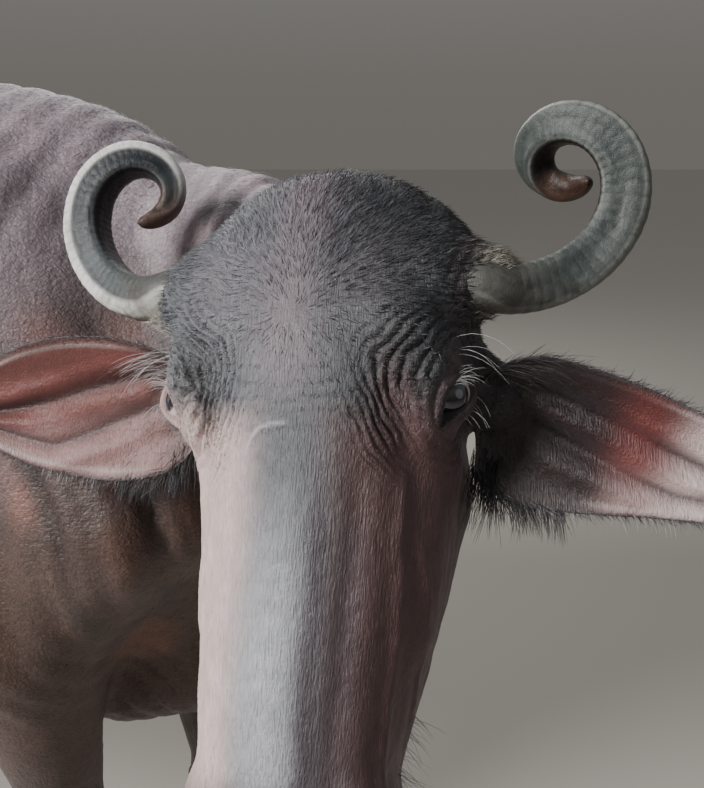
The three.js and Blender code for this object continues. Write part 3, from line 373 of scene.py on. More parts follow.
def gradient(f, p, h=0.0012):
    g = np.empty_like(p)
    for k in range(3):
        e = np.zeros(3)
        e[k] = h
        g[:, k] = (f(p + e) - f(p - e)) / (2 * h)
    return g

def settle(p, f, rounds, cap):
    for _ in range(rounds):
        g = gradient(f, p)
        m = -(f(p) / np.maximum((g * g).sum(1), 0.05))[:, None] * g
        n = np.sqrt((m * m).sum(1))
        p = p + m * np.minimum(1, cap / np.maximum(n, 1e-9))[:, None]
    return p

def new_mesh(name, verts, faces):
    me = bpy.data.meshes.new(name)
    me.from_pydata([tuple(v) for v in np.asarray(verts).tolist()], [], [tuple(int(i) for i in f) for f in faces])
    me.update()
    return me

def fast_mesh(name, verts, loops, sizes):
    me = bpy.data.meshes.new(name)
    me.vertices.add(len(verts))
    me.vertices.foreach_set("co", np.asarray(verts, np.float32).ravel())
    me.loops.add(len(loops))
    me.loops.foreach_set("vertex_index", np.asarray(loops, np.int32))
    sizes = np.asarray(sizes, np.int32)
    me.polygons.add(len(sizes))
    start = np.concatenate([[0], np.cumsum(sizes)[:-1]]).astype(np.int32)
    me.polygons.foreach_set("loop_start", start)
    me.polygons.foreach_set("loop_total", sizes)
    me.update(calc_edges=True)
    me.validate()
    return me

def coords(me):
    a = np.empty(len(me.vertices) * 3, np.float32)
    me.vertices.foreach_get("co", a)
    return a.reshape(-1, 3).astype(float)

def set_coords(me, v):
    me.vertices.foreach_set("co", np.asarray(v, np.float32).ravel())
    me.update()

def normals(me):
    a = np.empty(len(me.vertices) * 3, np.float32)
    me.vertices.foreach_get("normal", a)
    return a.reshape(-1, 3).astype(float)

def add_object(name, me):
    ob = bpy.data.objects.new(name, me)
    bpy.context.scene.collection.objects.link(ob)
    return ob

def shade_smooth(me):
    me.polygons.foreach_set("use_smooth", np.ones(len(me.polygons), bool))
    me.update()


# ------------------------------------------------------------------ smooth random fields
def hashed(i, j, k, seed):
    h = (i * 374761393 + j * 668265263 + k * 2147483647 + seed * 1274126177) & 0xFFFFFFFF
    h = ((h ^ (h >> 13)) * 1274126177) & 0xFFFFFFFF
    return ((h ^ (h >> 16)) & 0xFFFF) / 65535.0

def noise(p, size, seed=0):
    """A smooth random field in -1..1 whose lumps are about `size` across."""
    q = np.asarray(p, float) / size + 1000.37
    c = np.floor(q).astype(np.int64)
    f = q - c
    f = f * f * (3 - 2 * f)
    out = np.zeros(len(q))
    for a in (0, 1):
        for b in (0, 1):
            for d in (0, 1):
                w = (f[:, 0] if a else 1 - f[:, 0]) * (f[:, 1] if b else 1 - f[:, 1]) * (f[:, 2] if d else 1 - f[:, 2])
                out += w * hashed(c[:, 0] + a, c[:, 1] + b, c[:, 2] + d, seed)
    return out * 2 - 1

def fractal(p, size, seed=0, turns=3):
    v, a, t = 0, 1, 0
    for k in range(turns):
        v = v + a * noise(p, size / 2 ** k, seed + 17 * k)
        t += a
        a *= 0.55
    return v / t

def mixc(a, b, t):
    t = np.asarray(t)[:, None]
    return a * (1 - t) + np.asarray(b, float) * t

# ------------------------------------------------------------------ eyes and lids: directions round the eye
EYE_AT = np.array([0.1060, -0.050, 0.003])
EYE_R = 0.0195
def eye_axes(gaze):
    """Where the opening faces, the way to the inner corner and the way to the upper lid."""
    g = unit(gaze)
    s = np.array([-0.10, 0.42, 0.90])
    s = unit(s - g * s.dot(g))
    return g, s, -np.cross(g, s)
EYE_AXES = {1: eye_axes([0.66, 0.70, 0.27]), -1: eye_axes([0.53, 0.81, 0.27])}
LID = 0.0032
def lid_angles(q, side):
    """q in the mirrored head frame: distance from the eye, angles along the slit and across it."""
    d = q - EYE_AT
    r = np.sqrt((d * d).sum(1)) + 1e-9
    d = d / r[:, None]
    g, s, b = [np.where((side < 0)[:, None], EYE_AXES[-1][k], EYE_AXES[1][k]) for k in range(3)]
    along = np.degrees(np.arcsin(np.clip((d * s).sum(1), -1, 1)))
    front = (d * g).sum(1)
    across = np.degrees(np.arctan2((d * b).sum(1), np.maximum(front, 1e-6)))
    return r, along, across, front

def slit_edge(along, across):
    """Millimetres outside the lid margin (negative in the opening), on the eye's surface."""
    reach, up, low = 60.0, 29.0, 27.0
    t = np.clip(np.abs(along) / reach, 0, 1)
    shape = np.power(1 - t ** 2.0, 0.75)
    lean = along * 0.10
    h = np.where(across > lean, up, low) * shape
    inside = np.abs(across - lean) - h
    beyond = np.maximum(np.abs(along) - reach, 0)
    e = np.where(beyond > 0, np.hypot(beyond, np.maximum(inside, 0)), inside)
    return np.radians(e) * 22.0

def skin_distance(p):
    d = flesh(p) - COAT
    q = to_head(p)
    q[:, 0] = np.abs(q[:, 0])
    r = np.sqrt(((q - EYE_AT) ** 2).sum(1))
    near = r < 0.09
    if near.any():
        d[near] = blend(d[near], r[near] - (EYE_R + LID + COAT), 0.012)
    return d + COAT

H = 0.0105
val, lo = field((-0.94, -0.78, 0.03), (1.02, 0.40, 1.42), H, skin_distance)
verts0, quads0 = surface_nets(val, lo, H)
verts0 = settle(verts0, skin_distance, 2, 0.004)
stamp("base skin, %d quads" % len(quads0))
skin = fast_mesh("skin", verts0, quads0.ravel(), np.full(len(quads0), 4))

def head_frame(v):
    q = to_head(v)
    q[:, 0] -= lean_at(q[:, 2])
    side = np.where(q[:, 0] >= 0, 1.0, -1.0)
    m = q.copy()
    m[:, 0] = np.abs(m[:, 0])
    return q, m, side

def refine(me, choose, grid=True):
    bm = bmesh.new()
    bm.from_mesh(me)
    bm.verts.ensure_lookup_table()
    v = np.array([x.co[:] for x in bm.verts])
    keep = choose(v)
    es = [e for e in bm.edges if keep[e.verts[0].index] and keep[e.verts[1].index]]
    bmesh.ops.subdivide_edges(bm, edges=es, cuts=1, use_grid_fill=True)
    bm.to_mesh(me)
    bm.free()
    me.update()

def in_head(v, limit, reach=0.03):
    return (head_distance(v) < reach) & (to_head(v)[:, 2] > limit)

def resettle(me, choose, f, rounds=2, cap=0.002):
    v = coords(me)
    k = choose(v)
    v[k] = settle(v[k], f, rounds, cap)
    set_coords(me, v)

face = lambda v: in_head(v, -0.30)
refine(skin, lambda v: in_head(v, -0.40, 0.12))
refine(skin, face)
resettle(skin, lambda v: in_head(v, -0.45, 0.14), skin_distance)
stamp("head refined, %d faces" % len(skin.polygons))
def brow_zone(v):
    q, m, side = head_frame(v)
    r = np.sqrt(((m - EYE_AT) ** 2).sum(1))
    return (r < 0.105) & (m[:, 1] > -0.12) & (head_distance(v) < 0.03)
def eye_zone(v):
    q, m, side = head_frame(v)
    return np.sqrt(((m - EYE_AT) ** 2).sum(1)) < 0.031
refine(skin, brow_zone)
resettle(skin, brow_zone, skin_distance, 1)
refine(skin, eye_zone)
resettle(skin, eye_zone, skin_distance, 1)
stamp("lids refined, %d faces" % len(skin.polygons))

# ------------------------------------------------------------------ folds, veins and wrinkles of the skin
def ridged(x):
    return np.power(np.abs(np.sin(np.pi * x)), 0.7)

def brow_folds(q, r, ang):
    """Uneven rings of skin round the eye: 0 in a crease, 1 on a fold, and how strong they are there."""
    warp = 0.0042 * fractal(q, 0.030, 3, 2) + 0.0016 * noise(q, 0.011, 4)
    wave = 0.0064 - 0.0012 * (1 - smooth(-45, 35, ang))
    ring = ridged((r + warp) / wave + 0.8 * noise(q, 0.045, 6))
    fine = ridged((r + 0.7 * warp + 0.0014 * noise(q, 0.007, 7)) / 0.0033)
    cross_ = ridged((r * 0.55 + 0.010 * np.radians(ang) + 1.5 * warp) / 0.0093)
    strength = 0.40 + 0.60 * smooth(-0.45, 0.35, noise(q, 0.026, 5)) + 0.85 * (q[:, 0] < 0)
    deep = np.exp(-((r - 0.053) / 0.012) ** 2) * smooth(-62, -30, ang) * (1 - smooth(55, 90, ang))
    return ring, fine, cross_, strength, deep

def nose_root_ridge_at(q):
    sx, z = q[:, 0] + 0.017, q[:, 2]
    bend = np.where(sx < 0, 1.0, 0.0)
    line = 0.038 + 62 * sx * sx * bend - 0.12 * sx
    off = (z - line) / np.sqrt(1 + (124 * sx * bend) ** 2)
    return np.exp(-(off / 0.0015) ** 2) * smooth(-0.021, -0.015, sx) * (1 - smooth(0.010, 0.022, sx))

def shape_head(v, n):
    q, m, side = head_frame(v)
    X, y, z = m[:, 0], m[:, 1], m[:, 2]
    r, along, across, front = lid_angles(m, side)
    e = slit_edge(along, across)
    out = np.zeros(len(v))
    wob = fractal(q, 0.030, 3, 2)
    # rings round the eye, on the brow side and towards the root of the nose
    medial = -(X - EYE_AT[0])
    upward = -(z - EYE_AT[2])
    ang = np.degrees(np.arctan2(upward, medial))
    sector = smooth(-75, -45, ang) * (1 - smooth(115, 150, ang))
    win = smooth(0.030, 0.042, r) * (1 - smooth(0.072, 0.098, r)) * sector * smooth(-0.085, -0.060, y)
    ring, fine, cross_, strength, deep = brow_folds(q, r, ang)
    out += win * (0.0019 * (ring - 0.62) + 0.0007 * (fine - 0.6) + 0.0008 * (cross_ - 0.6)) * strength
    out -= win * 0.0024 * deep * (1 - ring)
    out += 0.0009 * nose_root_ridge_at(q)
    # bag and creases below the eye
    below = smooth(0.026, 0.034, r) * (1 - smooth(0.050, 0.070, r)) * (1 - sector) * smooth(-0.10, -0.08, y)
    out += below * 0.0013 * (ridged((r + 0.003 * wob) / 0.0085) - 0.6)
    # hollow at the inner corner, running down as the tear groove
    tear = bump_at(X, 0.082 - 0.10 * (z - 0.035), 0.009) * bump_at(z, 0.048, 0.018)
    out -= 0.0035 * tear
    # folds across the root of the nose
    root = bump_at(z, 0.012, 0.030) * (1 - smooth(0.030, 0.055, X))
    out += root * 0.0004 * (ridged((z + 0.0060 * wob + 0.10 * X) / 0.0110) - 0.6)
    # the nasal bones: a flat ridge with a fall at each side and a crease where the lip muscle starts
    nose = smooth(0.04, 0.10, z) * (1 - smooth(0.275, 0.31, z))
    top = smooth(-0.07, -0.03, y)
    out += 0.0030 * nose * top * bump_at(X, 0.0, 0.022)
    out -= 0.0032 * nose * top * bump_at(X, 0.046 - 0.03 * (z - 0.15), 0.0085)
    out += 0.0024 * nose * bump_at(y, -0.046 - 0.10 * (z - 0.15) + 0.003 * wob, 0.0050)      # vein along the face
    out += 0.0016 * smooth(0.09, 0.14, z) * nose * bump_at(y + 0.35 * (z - 0.2), -0.085, 0.0045)
    # cheek: soft lengthwise folds
    cheek = smooth(-0.05, -0.085, y) * smooth(0.02, 0.07, z) * (1 - smooth(0.22, 0.27, z))
    out += cheek * 0.0011 * (ridged((y + 0.22 * z + 0.004 * wob) / 0.019) - 0.6)
    # mouth line, lips and philtrum
    ym = -0.121 - (0.345 - z) * 0.10
    mouth = smooth(0.175, 0.215, z)
    out -= 0.0060 * mouth * np.exp(-((y - ym) / 0.0032) ** 2)
    out += 0.0022 * mouth * np.exp(-((y - ym - 0.009) / 0.0055) ** 2)
    out += 0.0018 * mouth * np.exp(-((y - ym + 0.010) / 0.0060) ** 2)
    out -= 0.0030 * smooth(0.315, 0.335, z) * bump_at(X, 0, 0.0022) * smooth(-0.115, -0.095, y)
    # nostril: a raised wing round a comma
    nd = np.hypot((X - 0.039) / 1.0, (y + 0.060) / 1.0)
    out += 0.0022 * smooth(0.29, 0.32, z) * bump_at(nd, 0.021, 0.005)
    # poll and forehead: low lumps under the hair
    out += 0.0011 * smooth(0.02, -0.03, z) * fractal(q, 0.035, 11, 2)
    out += 0.0005 * fractal(q, 0.012, 12, 2)
    # skin folds over the root of the horn
    hr = np.sqrt((((m - np.array([0.128, -0.056, -0.091])) / np.array([1, 1, 1])) ** 2).sum(1))
    out += 0.0016 * (1 - smooth(0.034, 0.060, hr)) * (ridged((X + 0.3 * z + 0.002 * wob) / 0.0080) - 0.6) * smooth(0.100, 0.118, X)
    # muzzle pad: fine cobbles
    pad = smooth(0.300, 0.325, z) * smooth(-0.118, -0.105, y)
    out += pad * 0.0006 * noise(q, 0.0045, 21)
    v2 = v + n * out[:, None]
    # the lids and the slit
    q2 = to_head(v2)
    q2[:, 0] = np.abs(q2[:, 0])
    near = (r < 0.036) & (front > 0.05)
    d = q2[near] - EYE_AT
    rr = np.sqrt((d * d).sum(1))
    d = d / rr[:, None]
    ee = e[near]
    lid = rr + 0.0010 * np.exp(-((ee - 1.6) / 1.5) ** 2) - 0.0013 * np.exp(-((ee - 5.4) / 1.0) ** 2)
    lid += 0.0006 * np.exp(-((ee - 7.6) / 1.4) ** 2) - 0.0009 * np.exp(-((ee - 10.0) / 1.0) ** 2)
    lid += 0.00025 * np.sin(along[near] * 0.9 + 3 * np.sin(along[near] * 0.21)) * smooth(1.5, 4.0, ee) * (1 - smooth(9, 13, ee))
    shut = smooth(-1.7, -0.2, ee)
    rnew = (EYE_R - 0.0035) * (1 - shut) + lid * shut
    q2[near] = EYE_AT + d * rnew[:, None]
    q2[:, 0] *= side
    v3 = v2.copy()
    v3[near] = from_head(q2[near])
    return v3, e

def shape_body(v, n, hm):
    x, y, z = v.T
    ay = np.abs(y)
    s = np.where(y > 0, 1.0, -1.0)
    wob = fractal(v, 0.16, 31, 2)
    out = np.zeros(len(v))
    right = smooth(0.06, -0.06, y)
    # ribs
    ribs = smooth(-0.30, -0.18, x) * (1 - smooth(0.20, 0.32, x)) * smooth(0.72, 0.82, z) * (1 - smooth(1.12, 1.24, z)) * smooth(0.14, 0.22, ay)
    out += ribs * 0.0024 * np.cos(2 * np.pi * (x + 0.16 * (z - 1.0) + 0.010 * wob) / 0.062)
    # hollow of the flank, in front of the hook bone and below the loin
    out -= 0.015 * np.exp(-((x + 0.300) / 0.075) ** 2 - ((z - 1.185) / 0.075) ** 2) * smooth(0.10, 0.16, ay)
    out += 0.002 * np.exp(-((x + 0.415) / 0.040) ** 2 - ((z - 1.262) / 0.035) ** 2) * smooth(0.12, 0.17, ay)
    out -= 0.008 * np.exp(-((x + 0.55) / 0.11) ** 2 - ((z - 1.245) / 0.040) ** 2) * smooth(0.08, 0.13, ay) * (1 - smooth(0.20, 0.24, ay))
    # backbone and short ribs of the loin
    back = smooth(1.22, 1.30, z) * smooth(-0.72, -0.62, x) * (1 - smooth(0.20, 0.34, x))
    out += back * 0.0045 * bump_at(ay, 0, 0.022) + back * 0.0012 * np.cos(2 * np.pi * x / 0.050) * bump_at(ay, 0, 0.030)
    out -= back * 0.0040 * bump_at(ay, 0.058, 0.026)
    # shoulder blade, its spine and the folds behind the elbow
    sx = 0.38 + (1.28 - z) * 0.42
    blade = smooth(0.95, 1.03, z) * (1 - smooth(1.22, 1.30, z)) * smooth(0.08, 0.12, ay)
    out += blade * 0.0060 * bump_at(x - sx, 0, 0.016)
    out -= blade * 0.0060 * bump_at(x - sx, -0.055, 0.024)
    out -= 0.0095 * np.exp(-((x - 0.285 - 0.10 * (0.85 - z)) / 0.016) ** 2) * smooth(0.60, 0.68, z) * (1 - smooth(0.86, 0.98, z)) * smooth(0.10, 0.15, ay)
    for k, (dx, a) in enumerate([(-0.035, 0.0035), (-0.068, 0.0025)]):
        out -= a * np.exp(-((x - 0.285 - dx - 0.10 * (0.85 - z)) / 0.009) ** 2) * smooth(0.62, 0.70, z) * (1 - smooth(0.82, 0.92, z)) * smooth(0.12, 0.17, ay)
    # thigh muscles
    th = smooth(0.80, 0.92, z) * (1 - smooth(1.12, 1.22, z)) * smooth(0.10, 0.15, ay)
    out -= th * 0.0060 * bump_at(x + 0.615 + 0.22 * (z - 1.0), 0, 0.018)
    out -= th * 0.0030 * bump_at(x + 0.50 - 0.10 * (z - 1.0), 0, 0.020)
    # neck: folds that open like a fan from the inner side of the bend
    neck = smooth(0.42, 0.52, x) * (1 - hm) * smooth(0.74, 0.88, z)
    fan = np.degrees(np.arctan2(x - 0.48 + 0.10 * (z - 1.1), -(y - 0.16)))
    inner = neck * right
    out += inner * 0.0135 * (ridged((fan + 7 * wob + 14 * (z - 1.1)) / 13.0) - 0.6) * smooth(0.80, 0.95, z) * (1 - 0.88 * smooth(1.04, 1.16, z))
    out += inner * 0.0022 * (ridged((fan + 4 * wob + 20 * (z - 1.1)) / 4.6) - 0.6) * (1 - 0.6 * smooth(1.04, 1.16, z))
    outer = neck * (1 - right)
    out += outer * 0.0022 * (ridged((x + 0.25 * (z - 1.1) + 0.012 * wob) / 0.040) - 0.6)
    # crest folds behind the poll
    crest = smooth(1.20, 1.26, z) * smooth(0.30, 0.42, x) * (1 - hm)
    out += crest * 0.0048 * (ridged((x - 0.45 * y + 0.010 * wob) / 0.034) - 0.6)
    # loose skin of the throat and brisket
    loose = smooth(0.86, 0.70, z) * smooth(0.30, 0.45, x) * (1 - hm) * (1 - smooth(0.62, 0.56, z) * smooth(0.12, 0.14, ay))
    loose = loose * (1 - smooth(0.10, 0.16, ay) * smooth(0.72, 0.62, z))
    out += loose * 0.0045 * (ridged((x + 0.8 * (z - 0.7) + 0.015 * wob) / 0.045) - 0.6)
    sh = smooth(0.70, 0.82, z) * (1 - smooth(1.00, 1.10, z)) * smooth(0.34, 0.42, x) * (1 - hm) * smooth(0.10, 0.14, ay)
    out += sh * 0.0055 * (ridged((x + 0.10 * (z - 0.9) + 0.020 * wob) / 0.062) - 0.6)
    # belly and flank creases
    belly = smooth(0.78, 0.66, z) * smooth(-0.36, -0.28, x) * (1 - smooth(0.22, 0.30, x))
    out += belly * 0.0018 * (ridged((x + 0.3 * ay + 0.014 * wob) / 0.034) - 0.6)
    # legs: tendons, joints with rings of skin
    for name, (front, side, step) in LEGS.items():
        t = np.clip(1 - z / (0.80 if front else 0.86), 0, 1)
        lx = x - step * t
        mine = (y * side > 0.03) & (z < (0.62 if front else 0.64))
        cx = np.where(z > 0.38, 0.44, 0.449) if front else np.interp(z, [0.066, 0.16, 0.48, 0.60, 0.80], [-0.606, -0.646, -0.676, -0.66, -0.55])
        cy = 0.166 if front else 0.160
        a = np.arctan2(y * side - cy, lx - cx)
        cannon = mine * smooth(0.34 if front else 0.44, 0.30 if front else 0.38, z) * smooth(0.165, 0.195, z)
        out -= cannon * 0.0032 * (bump_at(np.abs(a), 1.95, 0.30))
        out += cannon * 0.0014 * bump_at(np.abs(a), np.pi, 0.45)
        knee = mine * (bump_at(z, 0.392, 0.050) if front else bump_at(z, 0.520, 0.045)) * np.cos(a / 2) ** 2
        out += knee * 0.0018 * (ridged((z + 0.004 * wob) / 0.0125) - 0.6)
        fet = mine * bump_at(z, 0.128, 0.030)
        out += fet * 0.0015 * (ridged((z + 0.10 * (lx - cx) + 0.003 * wob) / 0.0100) - 0.6)
        cor = mine * bump_at(z - 0.30 * (lx - (0.480 if front else -0.606)), 0.070, 0.008)
        out += cor * 0.0020
    # tail rings
    tail = smooth(-0.815, -0.84, x) * (z > 0.50)
    out += tail * 0.0008 * (ridged(z / 0.016) - 0.6) * smooth(1.12, 1.02, z)
    out += 0.0010 * fractal(v, 0.055, 41, 2) * (1 - hm) * smooth(0.30, 0.60, z)
    out += 0.0007 * fractal(v, 0.022, 42, 2) * smooth(0.2, 0.4, z)
    return v + n * (out * (1 - 0.85 * hm))[:, None]

v = coords(skin)
n = normals(skin)
hd = head_distance(v)
hm = 1 - smooth(-0.015, 0.030, hd - 0.0 - np.minimum(body_distance(v), 0.2) * 0.5)
hm = hm * smooth(-0.26, -0.20, to_head(v)[:, 2])
v = shape_body(v, n, hm)
set_coords(skin, v)
n = normals(skin)
k = hd < 0.030
vh, eh = shape_head(v[k], n[k])
v[k] = vh
set_coords(skin, v)
stamp("skin shaped")


# ------------------------------------------------------------------ closed shapes from rings
def rings_to_mesh(rings, closed_ends=True):
    """rings: (m, k, 3). A closed skin over the rings with a fan at each end."""
    m, k = rings.shape[:2]
    verts = rings.reshape(-1, 3)
    r = np.arange(m - 1)[:, None] * k
    i = np.arange(k)[None, :]
    a = r + i
    b = r + (i + 1) % k
    quads = np.stack([a, b, b + k, a + k], -1).reshape(-1, 4)
    verts = np.vstack([verts, rings[0].mean(0), rings[-1].mean(0)])
    c0, c1 = m * k, m * k + 1
    i = np.arange(k)
    cap0 = np.stack([np.full(k, c0), (i + 1) % k, i], 1)
    cap1 = np.stack([np.full(k, c1), (m - 1) * k + i, (m - 1) * k + (i + 1) % k], 1)
    tri = np.vstack([cap0, cap1])
    # signed volume decides which way round the faces go
    q = verts[quads]
    vol = (np.einsum("ij,ij->i", q[:, 0], np.cross(q[:, 1], q[:, 2])) + np.einsum("ij,ij->i", q[:, 0], np.cross(q[:, 2], q[:, 3]))).sum()
    t = verts[tri]
    vol += np.einsum("ij,ij->i", t[:, 0], np.cross(t[:, 1], t[:, 2])).sum()
    if vol < 0:
        quads, tri = quads[:, ::-1], tri[:, ::-1]
    loops = np.concatenate([quads.ravel(), tri.ravel()])
    sizes = np.concatenate([np.full(len(quads), 4), np.full(len(tri), 3)])
    return verts, loops, sizes

def rows_unit(a):
    return a / np.maximum(np.sqrt((a * a).sum(-1, keepdims=True)), 1e-12)

# ------------------------------------------------------------------ ears, cupped leaves with lengthwise folds
EAR_PROFILE = {
    1: table([[0, 0.68], [0.06, 0.90], [0.13, 1.02], [0.24, 1.0], [0.38, 0.88], [0.55, 0.70], [0.70, 0.52], [0.84, 0.34], [0.94, 0.19], [1, 0.06]]),
    -1: table([[0, 0.62], [0.08, 0.90], [0.16, 1.04], [0.30, 1.12], [0.45, 1.10], [0.60, 0.96], [0.74, 0.72], [0.86, 0.46], [0.95, 0.24], [1, 0.06]])}
EAR_ROOT = np.array([0.126, -0.104, -0.006])
EAR_LENGTH, EAR_HALF = 0.275, 0.065
def ear_point(side, u, v, face_side):
    droop, swing = (0.22, -0.06) if side > 0 else (-0.03, 0.12)
    root = EAR_ROOT + (np.array([0, 0, 0.010]) if side > 0 else 0)
    curl = 0.22 if side > 0 else 0.05
    length = EAR_LENGTH * u
    drop = droop + curl * u * u
    one = np.ones_like(u)
    d = rows_unit(np.stack([one, swing - 0.15 * u, drop], -1))
    mid = root + np.stack([one, swing * one, droop * one], -1) * length[:, None] + np.stack([0 * u, -0.020 * u * u, (drop - droop) * length * 0.5], -1)
    f0 = np.array([-0.10, 0.86, 0.50])
    face = rows_unit(f0 - d * (d @ f0)[:, None])
    across = np.cross(d, face)
    w = EAR_HALF * EAR_PROFILE[side](u)[0] * 0.985
    cup = 0.62 + (0.12 - 0.62) * np.sqrt(u)
    thick = (0.0065 + (0.0028 - 0.0065) * u) * 0.90
    t = thick * np.power(np.maximum(0, 1 - np.abs(v) ** 3.2), 0.5) * face_side
    # folds of the inner face: two long valleys with round ridges between, and shallow ripples
    f = smooth(0.02, 0.14, u) * (1 - smooth(0.78, 0.97, u))
    v1 = -0.60 + 0.95 * u
    v2 = np.minimum(-0.26 + 1.55 * u, 0.60)
    wave = -0.0060 * f * (bump_at(v, v1, 0.11) + 0.85 * bump_at(v, v2, 0.10)) + 0.0034 * f * (bump_at(v, (v1 + v2) / 2, 0.12) + bump_at(v, v2 + 0.30, 0.14) + 0.6 * bump_at(v, v1 - 0.24, 0.10))
    wave += 0.0012 * f * np.sin(9.5 * v + 5 * u + (2.1 if side > 0 else 0.4)) * (1 - v * v)
    wave += 0.0018 * smooth(0.80, 0.97, np.abs(v)) * np.sin(13 * u + (1.0 if side > 0 else 3.0) + 2 * v) * smooth(0.1, 0.3, u)
    wave = wave * np.where(face_side > 0, 1.0, 0.55)
    return mid + across * (w * v * (1 - 0.18 * cup * v * v))[:, None] + face * (w * cup * (v * v - 0.35) + t + wave)[:, None]

def ear_mesh(side, nu=120, nv=54):
    us = np.linspace(0, 1, nu + 1) ** 0.95
    vs = -np.cos(np.linspace(0, np.pi, nv + 1))
    vr = np.concatenate([vs, vs[::-1][1:-1]])
    fs = np.concatenate([np.ones(nv + 1), -np.ones(nv - 1)])
    U, V = np.meshgrid(us, vr, indexing="ij")
    F = np.broadcast_to(fs, U.shape)
    pts = ear_point(side, U.ravel(), V.ravel(), F.ravel())
    pts[:, 0] *= side
    rings = from_head(pts).reshape(nu + 1, len(vr), 3)
    verts, loops, sizes = rings_to_mesh(rings)
    par = np.stack([U.ravel(), V.ravel(), F.ravel()], -1)
    par = np.vstack([par, [0, 0, 0], [1, 0, 0]])
    return fast_mesh("ear", verts, loops, sizes), verts, par

from mathutils.kdtree import KDTree
def tree_of(pts):
    t = KDTree(len(pts))
    for k, c in enumerate(pts):
        t.insert(c, k)
    t.balance()
    return t

ear_verts, ear_par, ear_side = [], [], []
skin_ob = add_object("hide", skin)
for side in (1, -1):
    em, ev, ep = ear_mesh(side)
    eo = add_object("ear_tmp", em)
    mod = skin_ob.modifiers.new("join", "BOOLEAN")
    mod.operation = "UNION"
    mod.solver = "MANIFOLD"
    mod.object = eo
    dg = bpy.context.evaluated_depsgraph_get()
    dg.update()
    me = bpy.data.meshes.new_from_object(skin_ob.evaluated_get(dg))
    skin_ob.modifiers.clear()
    old = skin_ob.data
    skin_ob.data = me
    bpy.data.meshes.remove(old)
    bpy.data.objects.remove(eo)
    bpy.data.meshes.remove(em)
    ear_verts.append(ev)
    ear_par.append(ep)
    ear_side.append(np.full(len(ev), side))
skin = skin_ob.data
skin.name = "hide"
ear_verts, ear_par, ear_side = np.vstack(ear_verts), np.vstack(ear_par), np.concatenate(ear_side)
stamp("ears joined, %d faces" % len(skin.polygons))

v = coords(skin)
q, m, side = head_frame(v)
near = np.where((m[:, 0] > 0.07) & (m[:, 0] < 0.46) & (np.abs(m[:, 1] + 0.09) < 0.13) & (np.abs(m[:, 2] - 0.05) < 0.19))[0]
tree = tree_of(ear_verts)
part = np.zeros(len(v), int)          # 1 where the point belongs to an ear
par = np.zeros((len(v), 3))
hit = [tree.find(v[k]) for k in near]
for k, h in zip(near, hit):
    if h[2] < 2e-5:
        part[k] = 1
    if h[2] < 0.004:
        par[k] = ear_par[h[1]]
edges = np.empty(len(skin.edges) * 2, np.int32)
skin.edges.foreach_get("vertices", edges)
edges = edges.reshape(-1, 2)
cross_edge = part[edges[:, 0]] != part[edges[:, 1]]
seam = np.unique(edges[cross_edge])
st = tree_of(v[seam])
sd = np.full(len(v), 1.0)
for k in near:
    sd[k] = st.find(v[k])[2]
w = (1 - smooth(0.003, 0.013, sd)) * 0.6
act = np.where(w > 0)[0]
ak = np.zeros(len(v), bool)
ak[act] = True
es = edges[ak[edges[:, 0]] | ak[edges[:, 1]]]
for _ in range(26):
    acc = np.zeros_like(v)
    cnt = np.zeros(len(v))
    np.add.at(acc, es[:, 0], v[es[:, 1]])
    np.add.at(acc, es[:, 1], v[es[:, 0]])
    np.add.at(cnt, es[:, 0], 1)
    np.add.at(cnt, es[:, 1], 1)
    v[act] += ((acc[act] / np.maximum(cnt[act], 1)[:, None]) - v[act]) * w[act][:, None]
set_coords(skin, v)
stamp("ear roots smoothed")

